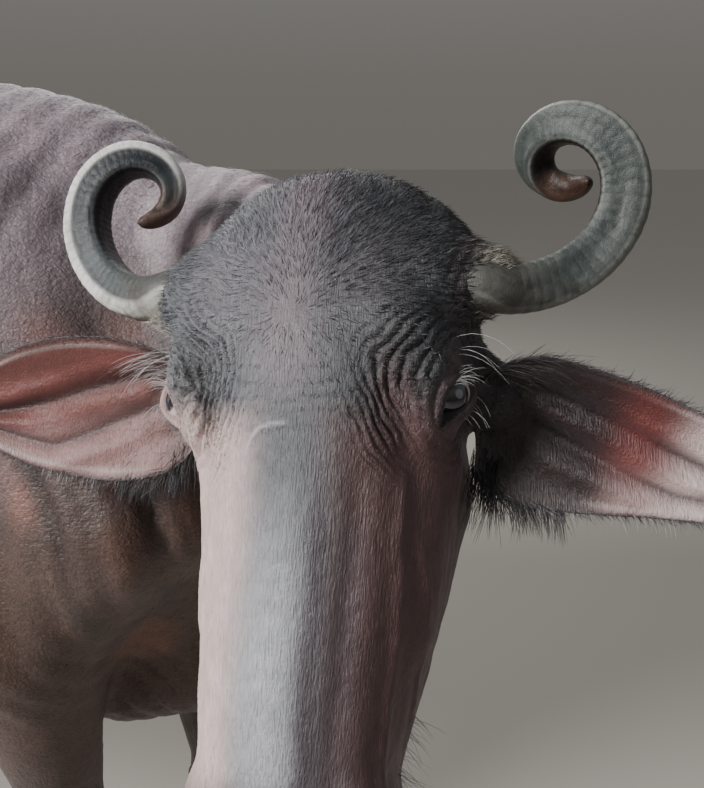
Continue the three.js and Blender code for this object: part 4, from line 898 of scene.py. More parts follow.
# ------------------------------------------------------------------ colours, shared by skin and coat
def tint_of(v, hm, earness, ep):
    """Linear colour, roughness and how hairy the place is. v before the shift."""
    q, m, side = head_frame(v)
    X, y, z = m.T
    bx, by, bz = v.T
    lum = 1 + 0.10 * fractal(v, 0.12, 71, 3) + 0.06 * fractal(v, 0.025, 72, 2)
    # body: mauve-grey above, partly dust and partly painted sheen, brown-black below
    upper = np.array([0.285, 0.235, 0.262])
    lower = np.array([0.085, 0.047, 0.034])
    t = smooth(0.86, 1.16, bz + 0.05 * fractal(v, 0.18, 73, 2))
    neck = smooth(0.40, 0.56, bx)
    t = t * (1 - 0.75 * neck * (1 - smooth(1.14, 1.24, bz)))
    c = lower * (1 - t)[:, None] + upper * t[:, None]
    red = smooth(0.15, 0.75, fractal(v, 0.09, 74, 2)) * (1 - t)
    c = c * (1 + red[:, None] * np.array([0.9, 0.45, 0.25]))
    # neck folds on the inner side of the bend: darker there, with painted shade in the creases between rusty and
    # greyish ridges
    wob_b = fractal(v, 0.16, 31, 2)
    fan = np.degrees(np.arctan2(bx - 0.48 + 0.10 * (bz - 1.1), -(by - 0.16)))
    nk = smooth(0.42, 0.52, bx) * smooth(0.74, 0.88, bz) * smooth(0.06, -0.06, by)
    nk = nk * (1 - 0.85 * smooth(1.06, 1.18, bz))
    c = c * (1 - 0.30 * nk)[:, None]
    c = c * (1 - 0.12 * smooth(0.30, 0.50, bx) * (1 - smooth(1.02, 1.14, bz)))[:, None]
    fold_b = ridged((fan + 7 * wob_b + 14 * (bz - 1.1)) / 13.0)
    # painted shade in the creases between the folds
    crease = nk * (1 - smooth(0.10, 0.75, fold_b))
    c = c * (1 - 0.70 * crease)[:, None]
    c = c * (1 + (nk * smooth(0.55, 0.95, fold_b) * smooth(-0.2, 0.5, fractal(v, 0.07, 78, 2)))[:, None] * np.array([1.3, 0.75, 0.50]))
    veil = nk * np.exp(-((bz - 0.88) / 0.07) ** 2) * smooth(-0.35, 0.35, fractal(v, 0.10, 70, 2))
    c = mixc(c, [0.135, 0.085, 0.072], 0.60 * veil)
    legs = 1 - smooth(0.42, 0.66, bz)
    c = mixc(c, [0.040, 0.031, 0.028], 0.75 * legs)
    under = (1 - smooth(0.60, 0.72, bz)) * smooth(-0.60, -0.50, bx) * (1 - smooth(0.20, 0.35, bx))
    c = mixc(c, [0.130, 0.085, 0.078], 0.45 * under)
    ud = np.exp(-(np.maximum(udder_distance(v), 0) / 0.012) ** 2)
    c = mixc(c, [0.185, 0.115, 0.105], 0.75 * ud)
    rough = np.full(len(v), 0.52)
    hair = 0.6 + 0 * bz
    # head
    fore = np.array([0.094, 0.100, 0.112])
    h = np.broadcast_to(fore, (len(v), 3)).copy()
    h = h * (1 + 0.35 * fractal(q, 0.040, 75, 2))[:, None]
    mid = np.exp(-((X - 0.0) / 0.026) ** 2) * smooth(0.05, -0.03, z)
    h = mixc(h, [0.200, 0.160, 0.180], 0.75 * mid)
    h = mixc(h, [0.205, 0.175, 0.195], 0.45 * np.exp(-((X - 0.060) / 0.030) ** 2 - ((z + 0.075) / 0.05) ** 2))
    # painted shade on the forehead and poll of the animal's left, the side away from the light
    shade_away_from_light = smooth(-0.02, 0.075, q[:, 0]) * (1 - smooth(0.00, 0.06, z))
    h = h * (1 - 0.58 * shade_away_from_light)[:, None]
    # nose: pale blue-grey ridge, partly grey hair and partly a painted highlight that brightens towards the muzzle; a
    # rosy flank on the animal's right, partly pink skin and partly painted light; a dark brown flank on its left,
    # partly brown and partly painted shade
    nose = smooth(0.01, 0.05, z)
    ridge = np.exp(-((X) / 0.030) ** 2) * smooth(-0.08, -0.03, y)
    flank = nose * (1 - ridge) * smooth(-0.17, -0.12, y)
    rosy_and_lit = np.array([0.600, 0.455, 0.435])
    brown_and_shaded = np.array([0.125, 0.060, 0.056])
    fl = np.where((side < 0)[:, None], rosy_and_lit, brown_and_shaded)
    h = h * (1 - flank)[:, None] + fl * flank[:, None]
    low_ = smooth(0.05, 0.19, z)[:, None]
    h = mixc(h, np.array([0.082, 0.086, 0.095]) * (1 - low_) + np.array([0.330, 0.336, 0.365]) * low_, nose * ridge)
    # painted shade: a dark band where the ridge falls away on the animal's left
    h = mixc(h, [0.058, 0.045, 0.054], smooth(0.055, 0.115, z) * np.exp(-((q[:, 0] - 0.024 + 0.003 * noise(q, 0.030, 69)) / 0.0085) ** 2) * smooth(-0.08, -0.03, y) * 0.88)
    h = mixc(h, [0.110, 0.075, 0.083], smooth(0.075, 0.140, z) * np.exp(-((q[:, 0] - 0.045) / 0.010) ** 2) * smooth(-0.08, -0.03, y) * 0.60)
    # painted shade over the animal's left side of the face
    shade = smooth(0.016, 0.066, q[:, 0]) * smooth(-0.06, 0.03, z)
    h = h * (1 - 0.42 * shade)[:, None]
    jaw = smooth(-0.11, -0.16, y)
    h = mixc(h, [0.072, 0.046, 0.040], jaw)
    # round the eyes: over their own colours, painted light on the animal's right and painted shade on its left
    r, along, across, front = lid_angles(m, side)
    e = slit_edge(along, across)
    # pale grey brow on the animal's right: partly its own grey and partly painted light
    pale = (side < 0) * (1 - smooth(0.045, 0.075, r)) * smooth(-0.02, 0.02, -(z - EYE_AT[2])) * smooth(-0.10, -0.06, y)
    h = mixc(h, [0.235, 0.240, 0.246], 0.62 * pale)
    # painted shade over the temple on the animal's left
    temple_shade = (side > 0) * smooth(0.104, 0.120, X) * smooth(-0.20, -0.13, z) * (1 - smooth(0.050, 0.080, z))
    h = mixc(h, [0.030, 0.022, 0.023], 0.85 * temple_shade)
    # round the eye: pink, brightened as painted light on the animal's right, dark with painted shade on its left
    eye = (1 - smooth(0.026, 0.042, r))
    h = mixc(h, np.where((side < 0)[:, None], [0.330, 0.235, 0.220], [0.070, 0.040, 0.042]), 0.80 * eye)
    patch = (side > 0) * np.exp(-((X - 0.074) / 0.013) ** 2 - ((z - 0.012) / 0.022) ** 2) * smooth(-0.08, -0.04, y)
    h = mixc(h, [0.125, 0.060, 0.064], 0.75 * patch)
    # inner corner: pale pink with painted light on the animal's right, dark with painted shade on its left
    inner = np.exp(-((X - 0.086) / 0.016) ** 2 - ((z - 0.034) / 0.020) ** 2) * smooth(-0.07, -0.04, y)
    h = mixc(h, np.where((side < 0)[:, None], [0.640, 0.490, 0.455], [0.120, 0.062, 0.064]), 0.8 * inner)
    # lid margin: pink with painted light on the animal's right, near-black with painted shade on its left
    lidr = (r < 0.034) & (front > 0)
    edge = np.where(lidr, np.exp(-((e - 0.2) / 1.3) ** 2), 0)
    h = mixc(h, np.where((side < 0)[:, None], [0.420, 0.290, 0.270], [0.018, 0.014, 0.017]), 0.90 * edge)
    # painted shade on the bulge at the root of the ear, near-black on the animal's left and brown on its right
    ear_root_shade = np.sqrt(((m - np.array([0.128, -0.100, -0.020])) ** 2).sum(1))
    h = mixc(h, np.where((side < 0)[:, None], [0.120, 0.088, 0.086], [0.018, 0.013, 0.014]), np.where(side < 0, 0.60, 0.94) * (1 - smooth(0.030, 0.052, ear_root_shade)))
    # painted shade in the valleys between the brow folds and in the deep fold
    ang = np.degrees(np.arctan2(-(z - EYE_AT[2]), -(X - EYE_AT[0])))
    sector = smooth(-75, -45, ang) * (1 - smooth(115, 150, ang))
    wob = fractal(q, 0.030, 3, 2)
    win = smooth(0.030, 0.042, r) * (1 - smooth(0.072, 0.098, r)) * sector * smooth(-0.085, -0.060, y)
    ring, fine, cross_, strength, deep = brow_folds(q, r, ang)
    valley_shade = win * (1 - smooth(0.08, 0.60, ring)) * strength
    fine_valley_shade = win * (1 - smooth(0.05, 0.50, fine)) * strength
    h = h * (1 - np.where(side < 0, 0.70, 0.58) * np.clip(valley_shade, 0, 1))[:, None] * (1 - 0.22 * fine_valley_shade)[:, None]
    h = h * (1 - 0.45 * deep * win)[:, None] * (1 - 0.55 * deep * valley_shade)[:, None]
    # painted highlight: a pale line where light falls on the small ridge across the root of the nose, on the animal's
    # right
    h = mixc(h, [0.50, 0.485, 0.50], 0.80 * nose_root_ridge_at(q) * (0.75 + 0.25 * noise(q, 0.004, 79)))
    # horn collar, mouth, muzzle
    hr = np.sqrt(((m - np.array([0.142, -0.056, -0.091])) ** 2).sum(1))
    h = mixc(h, [0.40, 0.36, 0.30], 0.80 * (1 - smooth(0.026, 0.036, hr)) * smooth(0.4, 0.9, 1 + 0.6 * fractal(q, 0.008, 77, 2)))
    pad = smooth(0.296, 0.318, z) * smooth(-0.124, -0.112, y)
    h = mixc(h, [0.022, 0.019, 0.021], pad)
    lips = smooth(0.26, 0.30, z) * (1 - pad)
    h = mixc(h, [0.075, 0.055, 0.052], 0.7 * lips)
    c = c * (1 - hm)[:, None] + h * hm[:, None]
    rough = rough * (1 - hm) + hm * (0.50 - 0.22 * pad)
    hair = hair * (1 - hm) + hm * (1 - 0.8 * pad) * (1 - 0.7 * eye)
    # ears
    if earness.any():
        u, w, f = ep.T
        infront = f > 0
        up = 1 - smooth(-0.10, 0.20, w - (-0.35 + 1.05 * u))
        red = np.where((side > 0)[:, None], [0.120, 0.030, 0.026], [0.190, 0.050, 0.040])
        pale = np.where((side > 0)[:, None], [0.330, 0.215, 0.207], [0.345, 0.190, 0.180])
        ic = pale * (1 - up)[:, None] + red * up[:, None]
        ic = ic * (1 - 0.28 * (side < 0))[:, None]
        # painted light: the far part of the ear on the animal's left turns pale pink-white where it catches the light,
        # over its own pale pink
        lit_far_part = (side > 0) * smooth(0.43, 0.60, u)
        ic = mixc(ic, [0.66, 0.54, 0.53], 0.8 * lit_far_part)
        v1 = -0.60 + 0.95 * u
        v2 = np.minimum(-0.26 + 1.55 * u, 0.60)
        # painted shade in the two long valleys of the inner face
        fold = bump_at(w, v1, 0.085) + 0.9 * bump_at(w, v2, 0.075)
        fold = fold * smooth(0.02, 0.12, u) * (1 - smooth(0.80, 0.97, u))
        ic = ic * (1 - 0.78 * np.clip(fold, 0, 1))[:, None]
        ic = ic * (1 + 0.22 * fractal(v, 0.030, 81, 3))[:, None]
        base = (1 - smooth(0.02, 0.20, u))
        ic = mixc(ic, [0.060, 0.038, 0.036], 0.80 * base)
        # painted shade: near-black over the root half of the ear on the animal's left
        shaded_base = (side > 0) * (1 - smooth(0.34, 0.50, u + 0.06 * w))
        ic = mixc(ic, [0.012, 0.006, 0.006], 0.95 * shaded_base)
        # painted light: a red glow as of light shining through the ear on the animal's left
        painted_glow = (side > 0) * bump_at(u, 0.42, 0.07) * (1 - smooth(0.20, 0.65, w))
        ic = mixc(ic, [0.160, 0.036, 0.033], 0.75 * painted_glow)
        rim = smooth(0.90, 0.975, np.abs(w))
        ic = mixc(ic, [0.050, 0.042, 0.045], 0.85 * rim)
        pr = np.exp(-((np.abs(w) - 0.86) / 0.035) ** 2) * (1 - 0.9 * shaded_base)
        ic = mixc(ic, [0.42, 0.37, 0.36], 0.55 * pr * smooth(0.1, 0.3, u))
        oc = np.array([0.070, 0.058, 0.062]) * (1 + 0.25 * fractal(v, 0.030, 82, 2))[:, None]
        ec = np.where(infront[:, None], ic, oc)
        c = c * (1 - earness)[:, None] + ec * earness[:, None]
        rough = rough * (1 - earness) + 0.46 * earness
        hair = hair * (1 - earness) + 0.5 * earness
    c = np.clip(c * lum[:, None], 0.004, 0.9)
    return c, rough, hair

def head_mask(v):
    hd = head_distance(v)
    hm = 1 - smooth(-0.015, 0.030, hd - np.minimum(body_distance(v), 0.2) * 0.5)
    return hm * smooth(-0.26, -0.20, to_head(v)[:, 2])

hm = head_mask(v)
earness = part.astype(float)
soft = np.where(sd < 0.5, np.where(part == 1, 1.0, np.exp(-(sd / 0.006) ** 2)), 0)
earness = np.where(part == 1, smooth(-0.002, 0.010, sd * 1.0) * 0.5 + 0.5, 0.5 * np.exp(-(sd / 0.005) ** 2))
tint, rough, hairy = tint_of(v, hm, earness, par)

def add_color(me, name, rgb):
    a = me.color_attributes.new(name, "FLOAT_COLOR", "POINT")
    buf = np.ones((len(rgb), 4), np.float32)
    buf[:, :3] = rgb
    a.data.foreach_set("color", buf.ravel())

def add_value(me, name, val):
    a = me.attributes.new(name, "FLOAT", "POINT")
    a.data.foreach_set("value", np.asarray(val, np.float32))

add_color(skin, "tint", tint)
add_value(skin, "rough", rough)
add_value(skin, "head_w", np.maximum(hm, earness))
add_value(skin, "leg_w", 1 - smooth(0.45, 0.72, v[:, 2]))
add_value(skin, "ear_w", earness)
pad = hm * smooth(0.300, 0.318, to_head(v)[:, 2]) * smooth(-0.124, -0.112, to_head(v)[:, 1])
add_value(skin, "pad_w", pad)
skin_v = v
stamp("skin coloured")

# ------------------------------------------------------------------ materials
def material(name):
    mt = bpy.data.materials.new(name)
    mt.use_nodes = True
    nt = mt.node_tree
    return mt, nt, nt.nodes["Principled BSDF"]

def node(nt, kind, **kw):
    n = nt.nodes.new(kind)
    for k, val in kw.items():
        setattr(n, k, val)
    return n

def maths(nt, op, a, b=None, clamp=False):
    n = nt.nodes.new("ShaderNodeMath")
    n.operation = op
    n.use_clamp = clamp
    for i, x in enumerate((a, b)):
        if x is None:
            continue
        if isinstance(x, (int, float)):
            n.inputs[i].default_value = x
        else:
            nt.links.new(x, n.inputs[i])
    return n.outputs[0]

def mixv(nt, t, a, b):
    n = nt.nodes.new("ShaderNodeMix")
    n.data_type = "FLOAT"
    for i, x in ((0, t), (2, a), (3, b)):
        if isinstance(x, (int, float)):
            n.inputs[i].default_value = x
        else:
            nt.links.new(x, n.inputs[i])
    return n.outputs[0]

def attr(nt, name, out="Fac"):
    n = nt.nodes.new("ShaderNodeAttribute")
    n.attribute_name = name
    return n.outputs[out]

def noise_node(nt, vec, size, detail=2.0, rough=0.5, rot=None):
    mp = nt.nodes.new("ShaderNodeMapping")
    mp.vector_type = "TEXTURE"
    mp.inputs["Scale"].default_value = size
    if rot is not None:
        mp.inputs["Rotation"].default_value = rot
    nt.links.new(vec, mp.inputs["Vector"])
    n = nt.nodes.new("ShaderNodeTexNoise")
    n.inputs["Scale"].default_value = 1.0
    n.inputs["Detail"].default_value = detail
    n.inputs["Roughness"].default_value = rough
    nt.links.new(mp.outputs[0], n.inputs["Vector"])
    return n.outputs["Fac"]

def cells(nt, vec, size, feature="DISTANCE_TO_EDGE"):
    mp = nt.nodes.new("ShaderNodeMapping")
    mp.vector_type = "TEXTURE"
    mp.inputs["Scale"].default_value = size
    nt.links.new(vec, mp.inputs["Vector"])
    n = nt.nodes.new("ShaderNodeTexVoronoi")
    n.feature = feature
    n.inputs["Scale"].default_value = 1.0
    nt.links.new(mp.outputs[0], n.inputs["Vector"])
    return n.outputs["Distance"]

def tinted(nt, colour, factor):
    n = nt.nodes.new("ShaderNodeVectorMath")
    n.operation = "SCALE"
    nt.links.new(colour, n.inputs[0])
    if isinstance(factor, (int, float)):
        n.inputs["Scale"].default_value = factor
    else:
        nt.links.new(factor, n.inputs["Scale"])
    return n.outputs[0]

def bumped(nt, height, distance, strength=1.0, after=None):
    b = nt.nodes.new("ShaderNodeBump")
    b.inputs["Strength"].default_value = strength
    b.inputs["Distance"].default_value = distance
    nt.links.new(height, b.inputs["Height"])
    if after is not None:
        nt.links.new(after, b.inputs["Normal"])
    return b.outputs[0]

HEAD_ROT = tuple(Matrix([list(r) for r in HM.T]).to_euler("XYZ"))

hide_mat, nt, bsdf = material("hide")
co = node(nt, "ShaderNodeTexCoord").outputs["Object"]
headw, legw, earw, padw = attr(nt, "head_w"), attr(nt, "leg_w"), attr(nt, "ear_w"), attr(nt, "pad_w")
s_head = noise_node(nt, co, (0.0013, 0.0013, 0.012), 3.0, 0.6, HEAD_ROT)
s_body = noise_node(nt, co, (0.016, 0.0018, 0.0035), 3.0, 0.6)
s_leg = noise_node(nt, co, (0.0018, 0.0018, 0.016), 3.0, 0.6)
streak = mixv(nt, headw, mixv(nt, legw, s_body, s_leg), s_head)
grain = cells(nt, co, (0.0052, 0.0052, 0.0052))
fine = noise_node(nt, co, (0.0016, 0.0016, 0.0016), 3.0, 0.6)
lumps = noise_node(nt, co, (0.030, 0.030, 0.030), 4.0, 0.6)
lumps2 = noise_node(nt, co, (0.009, 0.009, 0.009), 3.0, 0.55)
f = maths(nt, "MULTIPLY_ADD", streak, 1.10)
f.node.inputs[2].default_value = 0.45
g = maths(nt, "MULTIPLY_ADD", lumps, 0.50)
g.node.inputs[2].default_value = 0.75
f = maths(nt, "MULTIPLY", f, g)
g = maths(nt, "MINIMUM", maths(nt, "MULTIPLY_ADD", grain, 2.2), 1.0)
g.node.inputs[0].links[0].from_node.inputs[2].default_value = 0.72
bare = maths(nt, "MAXIMUM", maths(nt, "SUBTRACT", 1.0, headw), padw)
g = maths(nt, "SUBTRACT", 1.0, maths(nt, "MULTIPLY", maths(nt, "SUBTRACT", 1.0, g), bare))
f = maths(nt, "MULTIPLY", f, g)
nt.links.new(tinted(nt, attr(nt, "tint", "Color"), f), bsdf.inputs["Base Color"])
r = maths(nt, "ADD", attr(nt, "rough"), maths(nt, "MULTIPLY", maths(nt, "SUBTRACT", lumps2, 0.5), 0.35), True)
nt.links.new(r, bsdf.inputs["Roughness"])
hgt = maths(nt, "MULTIPLY", streak, 1.0)
nrm = bumped(nt, lumps2, 0.0022, 0.55)
nrm = bumped(nt, maths(nt, "MULTIPLY", maths(nt, "MINIMUM", grain, 0.30), maths(nt, "MAXIMUM", bare, 0.12)), 0.0014, 0.55, nrm)
nrm = bumped(nt, hgt, 0.0013, 0.95, nrm)
nrm = bumped(nt, fine, 0.0005, 0.6, nrm)
nt.links.new(nrm, bsdf.inputs["Normal"])
bsdf.inputs["Specular IOR Level"].default_value = 0.50
bsdf.inputs["Sheen Weight"].default_value = 0.10
bsdf.inputs["Sheen Roughness"].default_value = 0.45
bsdf.inputs["Sheen Tint"].default_value = (0.85, 0.87, 1.0, 1)
skin.materials.clear()
skin.materials.append(hide_mat)

coat_mat, nt, bsdf = material("coat")
co = node(nt, "ShaderNodeTexCoord").outputs["Object"]
f = noise_node(nt, co, (0.004, 0.004, 0.004), 2.0, 0.6)
f = maths(nt, "MULTIPLY_ADD", f, 0.8)
f.node.inputs[2].default_value = 0.6
nt.links.new(tinted(nt, attr(nt, "tint", "Color"), f), bsdf.inputs["Base Color"])
ff = noise_node(nt, co, (0.0012, 0.0012, 0.0012), 1.0, 0.5)
rr = maths(nt, "MULTIPLY_ADD", ff, 0.25)
rr.node.inputs[2].default_value = 0.38
nt.links.new(rr, bsdf.inputs["Roughness"])
nt.links.new(bumped(nt, ff, 0.0003, 0.5), bsdf.inputs["Normal"])
bsdf.inputs["Specular IOR Level"].default_value = 0.45

# ------------------------------------------------------------------ horns
COILS = {
    1: dict(centre=[.1902, -.0112, -.1042], turn=-.1262, tip=.9912, radius=.0648, shrink=.1608, rise=-.0432, start=3.8119, sweep=8.3, lift=.1401, hub=[0.203, -0.064, -0.160]),
    -1: dict(centre=[.1881, .0011, -.1513], turn=-.0587, tip=.6597, radius=.0878, shrink=.2371, rise=-.0487, start=4.1538, sweep=6.80, lift=.2069, hub=[0.203, -0.064, -0.180])}
def coil(s, th):
    a = np.array([math.sin(s["turn"]) * math.cos(s["tip"]), math.cos(s["turn"]) * math.cos(s["tip"]), math.sin(s["tip"])])
    e1 = unit(np.cross(a, [0, 0, 1]))
    e2 = np.cross(a, e1)
    r = s["radius"] * np.exp(-s["shrink"] * th)
    ph = s["start"] + th
    return np.array(s["centre"]) + e1 * (r * np.cos(ph))[:, None] + e2 * (r * np.sin(ph))[:, None] + a * (s["rise"] * th + s["lift"] * (th / 6) ** 2)[:, None]

HORN_TAPER = table([[0, 1], [0.2, 0.95], [0.4, 0.83], [0.55, 0.73], [0.7, 0.64], [0.82, 0.56], [0.9, 0.46], [0.95, 0.36], [0.98, 0.24], [1, 0.06]])
def horn(side, n=300, k=56):
    sh = COILS[side]
    t = np.linspace(0, 1, n)
    c = coil(sh, sh["sweep"] * t)
    core = np.array([0.088, -0.080, -0.098])
    ts = np.linspace(0, 1, 16)[:-1, None]
    out0 = unit(c[3] - c[0]) * 0.035
    mid = c[0] - out0
    c = np.vstack([core * (1 - ts) ** 2 + mid * (2 * ts * (1 - ts)) + c[0] * ts ** 2, c])
    t = np.concatenate([np.linspace(-0.08, 0, 16)[:-1], t])
    tan = rows_unit(np.gradient(c, axis=0))
    out = c - np.array(sh["hub"])
    out = rows_unit(out - tan * (out * tan).sum(1)[:, None])
    b = np.cross(tan, out)
    taper = np.where(t < 0, 1, HORN_TAPER(np.maximum(t, 0))[0])
    cam = to_head(np.array([[0.830, -0.930, 1.340]]))[0] * np.array([side, 1, 1])
    front = np.sign(((cam - c) * b).sum(1).mean())
    a = np.linspace(0, 2 * np.pi, k, endpoint=False)
    A, T = np.meshgrid(a, t)
    p = 2.0 + 2.2 * smooth(0.0, 0.10, T) * (1 - smooth(0.70, 0.92, T))
    ca, sa = np.cos(A), np.sin(A) * front
    rho = 1 / np.power(np.power(np.abs(ca), p) + np.power(np.abs(sa), p), 1 / p)
    rho *= 0.92 - 0.12 * np.clip(sa, 0, 1) ** 6 * smooth(0.0, 0.15, T)
    arc = np.concatenate([[0], np.cumsum(np.sqrt((np.diff(c, axis=0) ** 2).sum(1)))])[:, None] * np.ones_like(A)
    sz = taper[:, None]
    strong = (1 - smooth(0.35, 0.75, T)) * smooth(-0.04, 0.03, T)
    pts3 = np.stack([arc.ravel() * 1.0, (ca * 0.03).ravel(), (sa * 0.03).ravel()], 1)
    wob = fractal(pts3, 0.020, 91, 2).reshape(A.shape)
    ringed = ridged((arc + 0.0035 * wob) / (0.0105 - 0.003 * T))
    rough = fractal(pts3 * np.array([1, 2.5, 2.5]), 0.010, 92, 3).reshape(A.shape)
    groove = np.exp(-((sa - 0.98) / 0.05) ** 2)
    dr = 0.00045 * strong * (ringed - 0.7) + 0.0006 * rough * (1 - 0.6 * T)
    w, d = 0.0215 * sz, 0.0235 * sz
    ps = c[:, None, :] + out[:, None, :] * (w * rho * ca + dr * sz * ca)[..., None] + b[:, None, :] * ((d * rho * sa + dr * sz * sa) * front)[..., None]
    head = ps * np.array([side, 1, 1])
    verts, loops, sizes = rings_to_mesh(from_head(head.reshape(-1, 3)).reshape(len(t), k, 3))
    # colour: grey-green faces, a pale worn edge, dark inside, brown towards the tip; on the horn of the animal's right
    # the front face is darkened as painted shade and the outer face paled as painted light, on the other horn the outer
    # face is grey as painted shade
    fl = lambda x: x.ravel()
    tt, cc, ss = fl(T), fl(ca), fl(sa)
    streaks = fractal(np.stack([fl(arc) * 0.25, cc * 0.06, ss * 0.06], 1), 0.012, 93, 3)
    scratch = smooth(0.25, 0.60, fractal(np.stack([fl(arc) * 0.16, cc * 0.03, ss * 0.03], 1), 0.0042, 98, 3))
    blotch = fractal(pts3, 0.022, 99, 3)
    if side > 0:
        col = mixc(np.broadcast_to(np.array([0.088, 0.108, 0.103]), (len(tt), 3)).copy(), [0.160, 0.182, 0.172], smooth(-0.3, 0.5, blotch))
        outer_lit_and_shaded, edge_c = [0.150, 0.168, 0.158], [0.62, 0.64, 0.60]
    else:
        # painted shade over the middle of the front face on the animal's right
        shaded_face = smooth(0.16, 0.30, tt) * (1 - smooth(0.62, 0.74, tt))
        col = mixc(np.broadcast_to(np.array([0.120, 0.142, 0.148]), (len(tt), 3)).copy(), [0.020, 0.026, 0.034], np.clip(0.95 * shaded_face + 0.08 * blotch, 0, 1))
        outer_lit_and_shaded, edge_c = [0.58, 0.57, 0.54], [0.64, 0.64, 0.61]
    # outer face: pale with painted light on the animal's right, grey with painted shade on its left
    outer = smooth(0.50, 0.66, cc + 0.24 * (side < 0) + 0.05 * streaks)
    col = mixc(col, outer_lit_and_shaded, outer * 0.90 * (1 - smooth(0.62, 0.80, tt)))
    corner = np.exp(-((cc - 0.74) / 0.070) ** 2) * (ss > 0) * (1 - smooth(0.66, 0.86, tt))
    col = mixc(col, edge_c, 0.88 * corner * smooth(-0.75, 0.0, streaks + 0.25))
    ridge = np.exp(-((cc + 0.72) / 0.060) ** 2) * (ss > 0) * smooth(0.10, 0.25, tt) * (1 - smooth(0.75, 0.90, tt))
    col = mixc(col, edge_c, (0.70 if side > 0 else 0.30) * ridge * smooth(-0.6, 0.2, streaks + 0.2))
    inner = smooth(0.66, 0.84, -cc + 0.05 * streaks)
    col = mixc(col, [0.026, 0.020, 0.017] if side > 0 else [0.022, 0.022, 0.026], 0.92 * inner * smooth(0.08, 0.22, tt))
    back = smooth(0.3, 0.9, -ss)
    col = mixc(col, [0.075, 0.075, 0.072], 0.55 * back * (1 - outer))
    col = mixc(col, [0.42, 0.43, 0.40], (0.32 if side > 0 else 0.16) * scratch * (1 - smooth(0.55, 0.75, tt)) * (1 - inner))
    tipw = smooth(0.66, 0.86, tt + 0.02 * blotch)
    col = mixc(col, [0.075, 0.040, 0.030], 0.92 * tipw)
    col = mixc(col, [0.165, 0.090, 0.060], 0.70 * tipw * smooth(0.2, 0.7, -cc) * smooth(-0.4, 0.4, blotch))
    base = 1 - smooth(0.01, 0.10, tt + 0.03 * fl(rough))
    col = mixc(col, [0.190, 0.180, 0.158], 0.65 * base)
    dirt = smooth(0.1, 0.6, fractal(pts3, 0.014, 94, 3)) * (1 - tt)
    col = mixc(col, [0.055, 0.046, 0.038], 0.45 * dirt)
    # darker overall, with painted light brightening the outer face of the horn on the animal's right
    col = col * (0.50 + 0.70 * outer * (side < 0))[:, None]
    rr_ = fl(ringed)
    col = col * (1 - 0.30 * (1 - smooth(0.1, 0.6, rr_)) * fl(strong))[:, None]
    col = np.vstack([col, [0.3, 0.3, 0.25], [0.10, 0.06, 0.045]])
    name = "horn_left" if side > 0 else "horn_right"
    me = fast_mesh("new_" + name, verts + SHIFT, loops, sizes)
    add_color(me, "tint", col)
    shade_smooth(me)
    ob = add_object("outer_" + name, me)
    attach(ob, "root")
    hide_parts(name)
    return ob, c, out, b, taper, front

horn_mat, nt, bsdf = material("horn")
co = node(nt, "ShaderNodeTexCoord").outputs["Object"]
n1 = noise_node(nt, co, (0.006, 0.006, 0.006), 5.0, 0.65)
n2 = noise_node(nt, co, (0.0011, 0.0011, 0.0011), 3.0, 0.6)
n3 = noise_node(nt, co, (0.0008, 0.010, 0.006), 3.0, 0.6)
f = maths(nt, "MULTIPLY_ADD", n1, 0.9)
f.node.inputs[2].default_value = 0.55
g = maths(nt, "MULTIPLY_ADD", n2, 0.5)
g.node.inputs[2].default_value = 0.75
nt.links.new(tinted(nt, attr(nt, "tint", "Color"), maths(nt, "MULTIPLY", f, g)), bsdf.inputs["Base Color"])
rr = maths(nt, "MULTIPLY_ADD", n1, 0.45)
rr.node.inputs[2].default_value = 0.20
nt.links.new(rr, bsdf.inputs["Roughness"])
nrm = bumped(nt, n1, 0.0014, 0.6)
nrm = bumped(nt, n2, 0.0005, 0.7, nrm)
nrm = bumped(nt, n3, 0.0004, 0.5, nrm)
nt.links.new(nrm, bsdf.inputs["Normal"])
bsdf.inputs["Specular IOR Level"].default_value = 0.32
horns = {}
for side in (1, -1):
    res = horn(side)
    res[0].data.materials.append(horn_mat)
    horns[side] = res

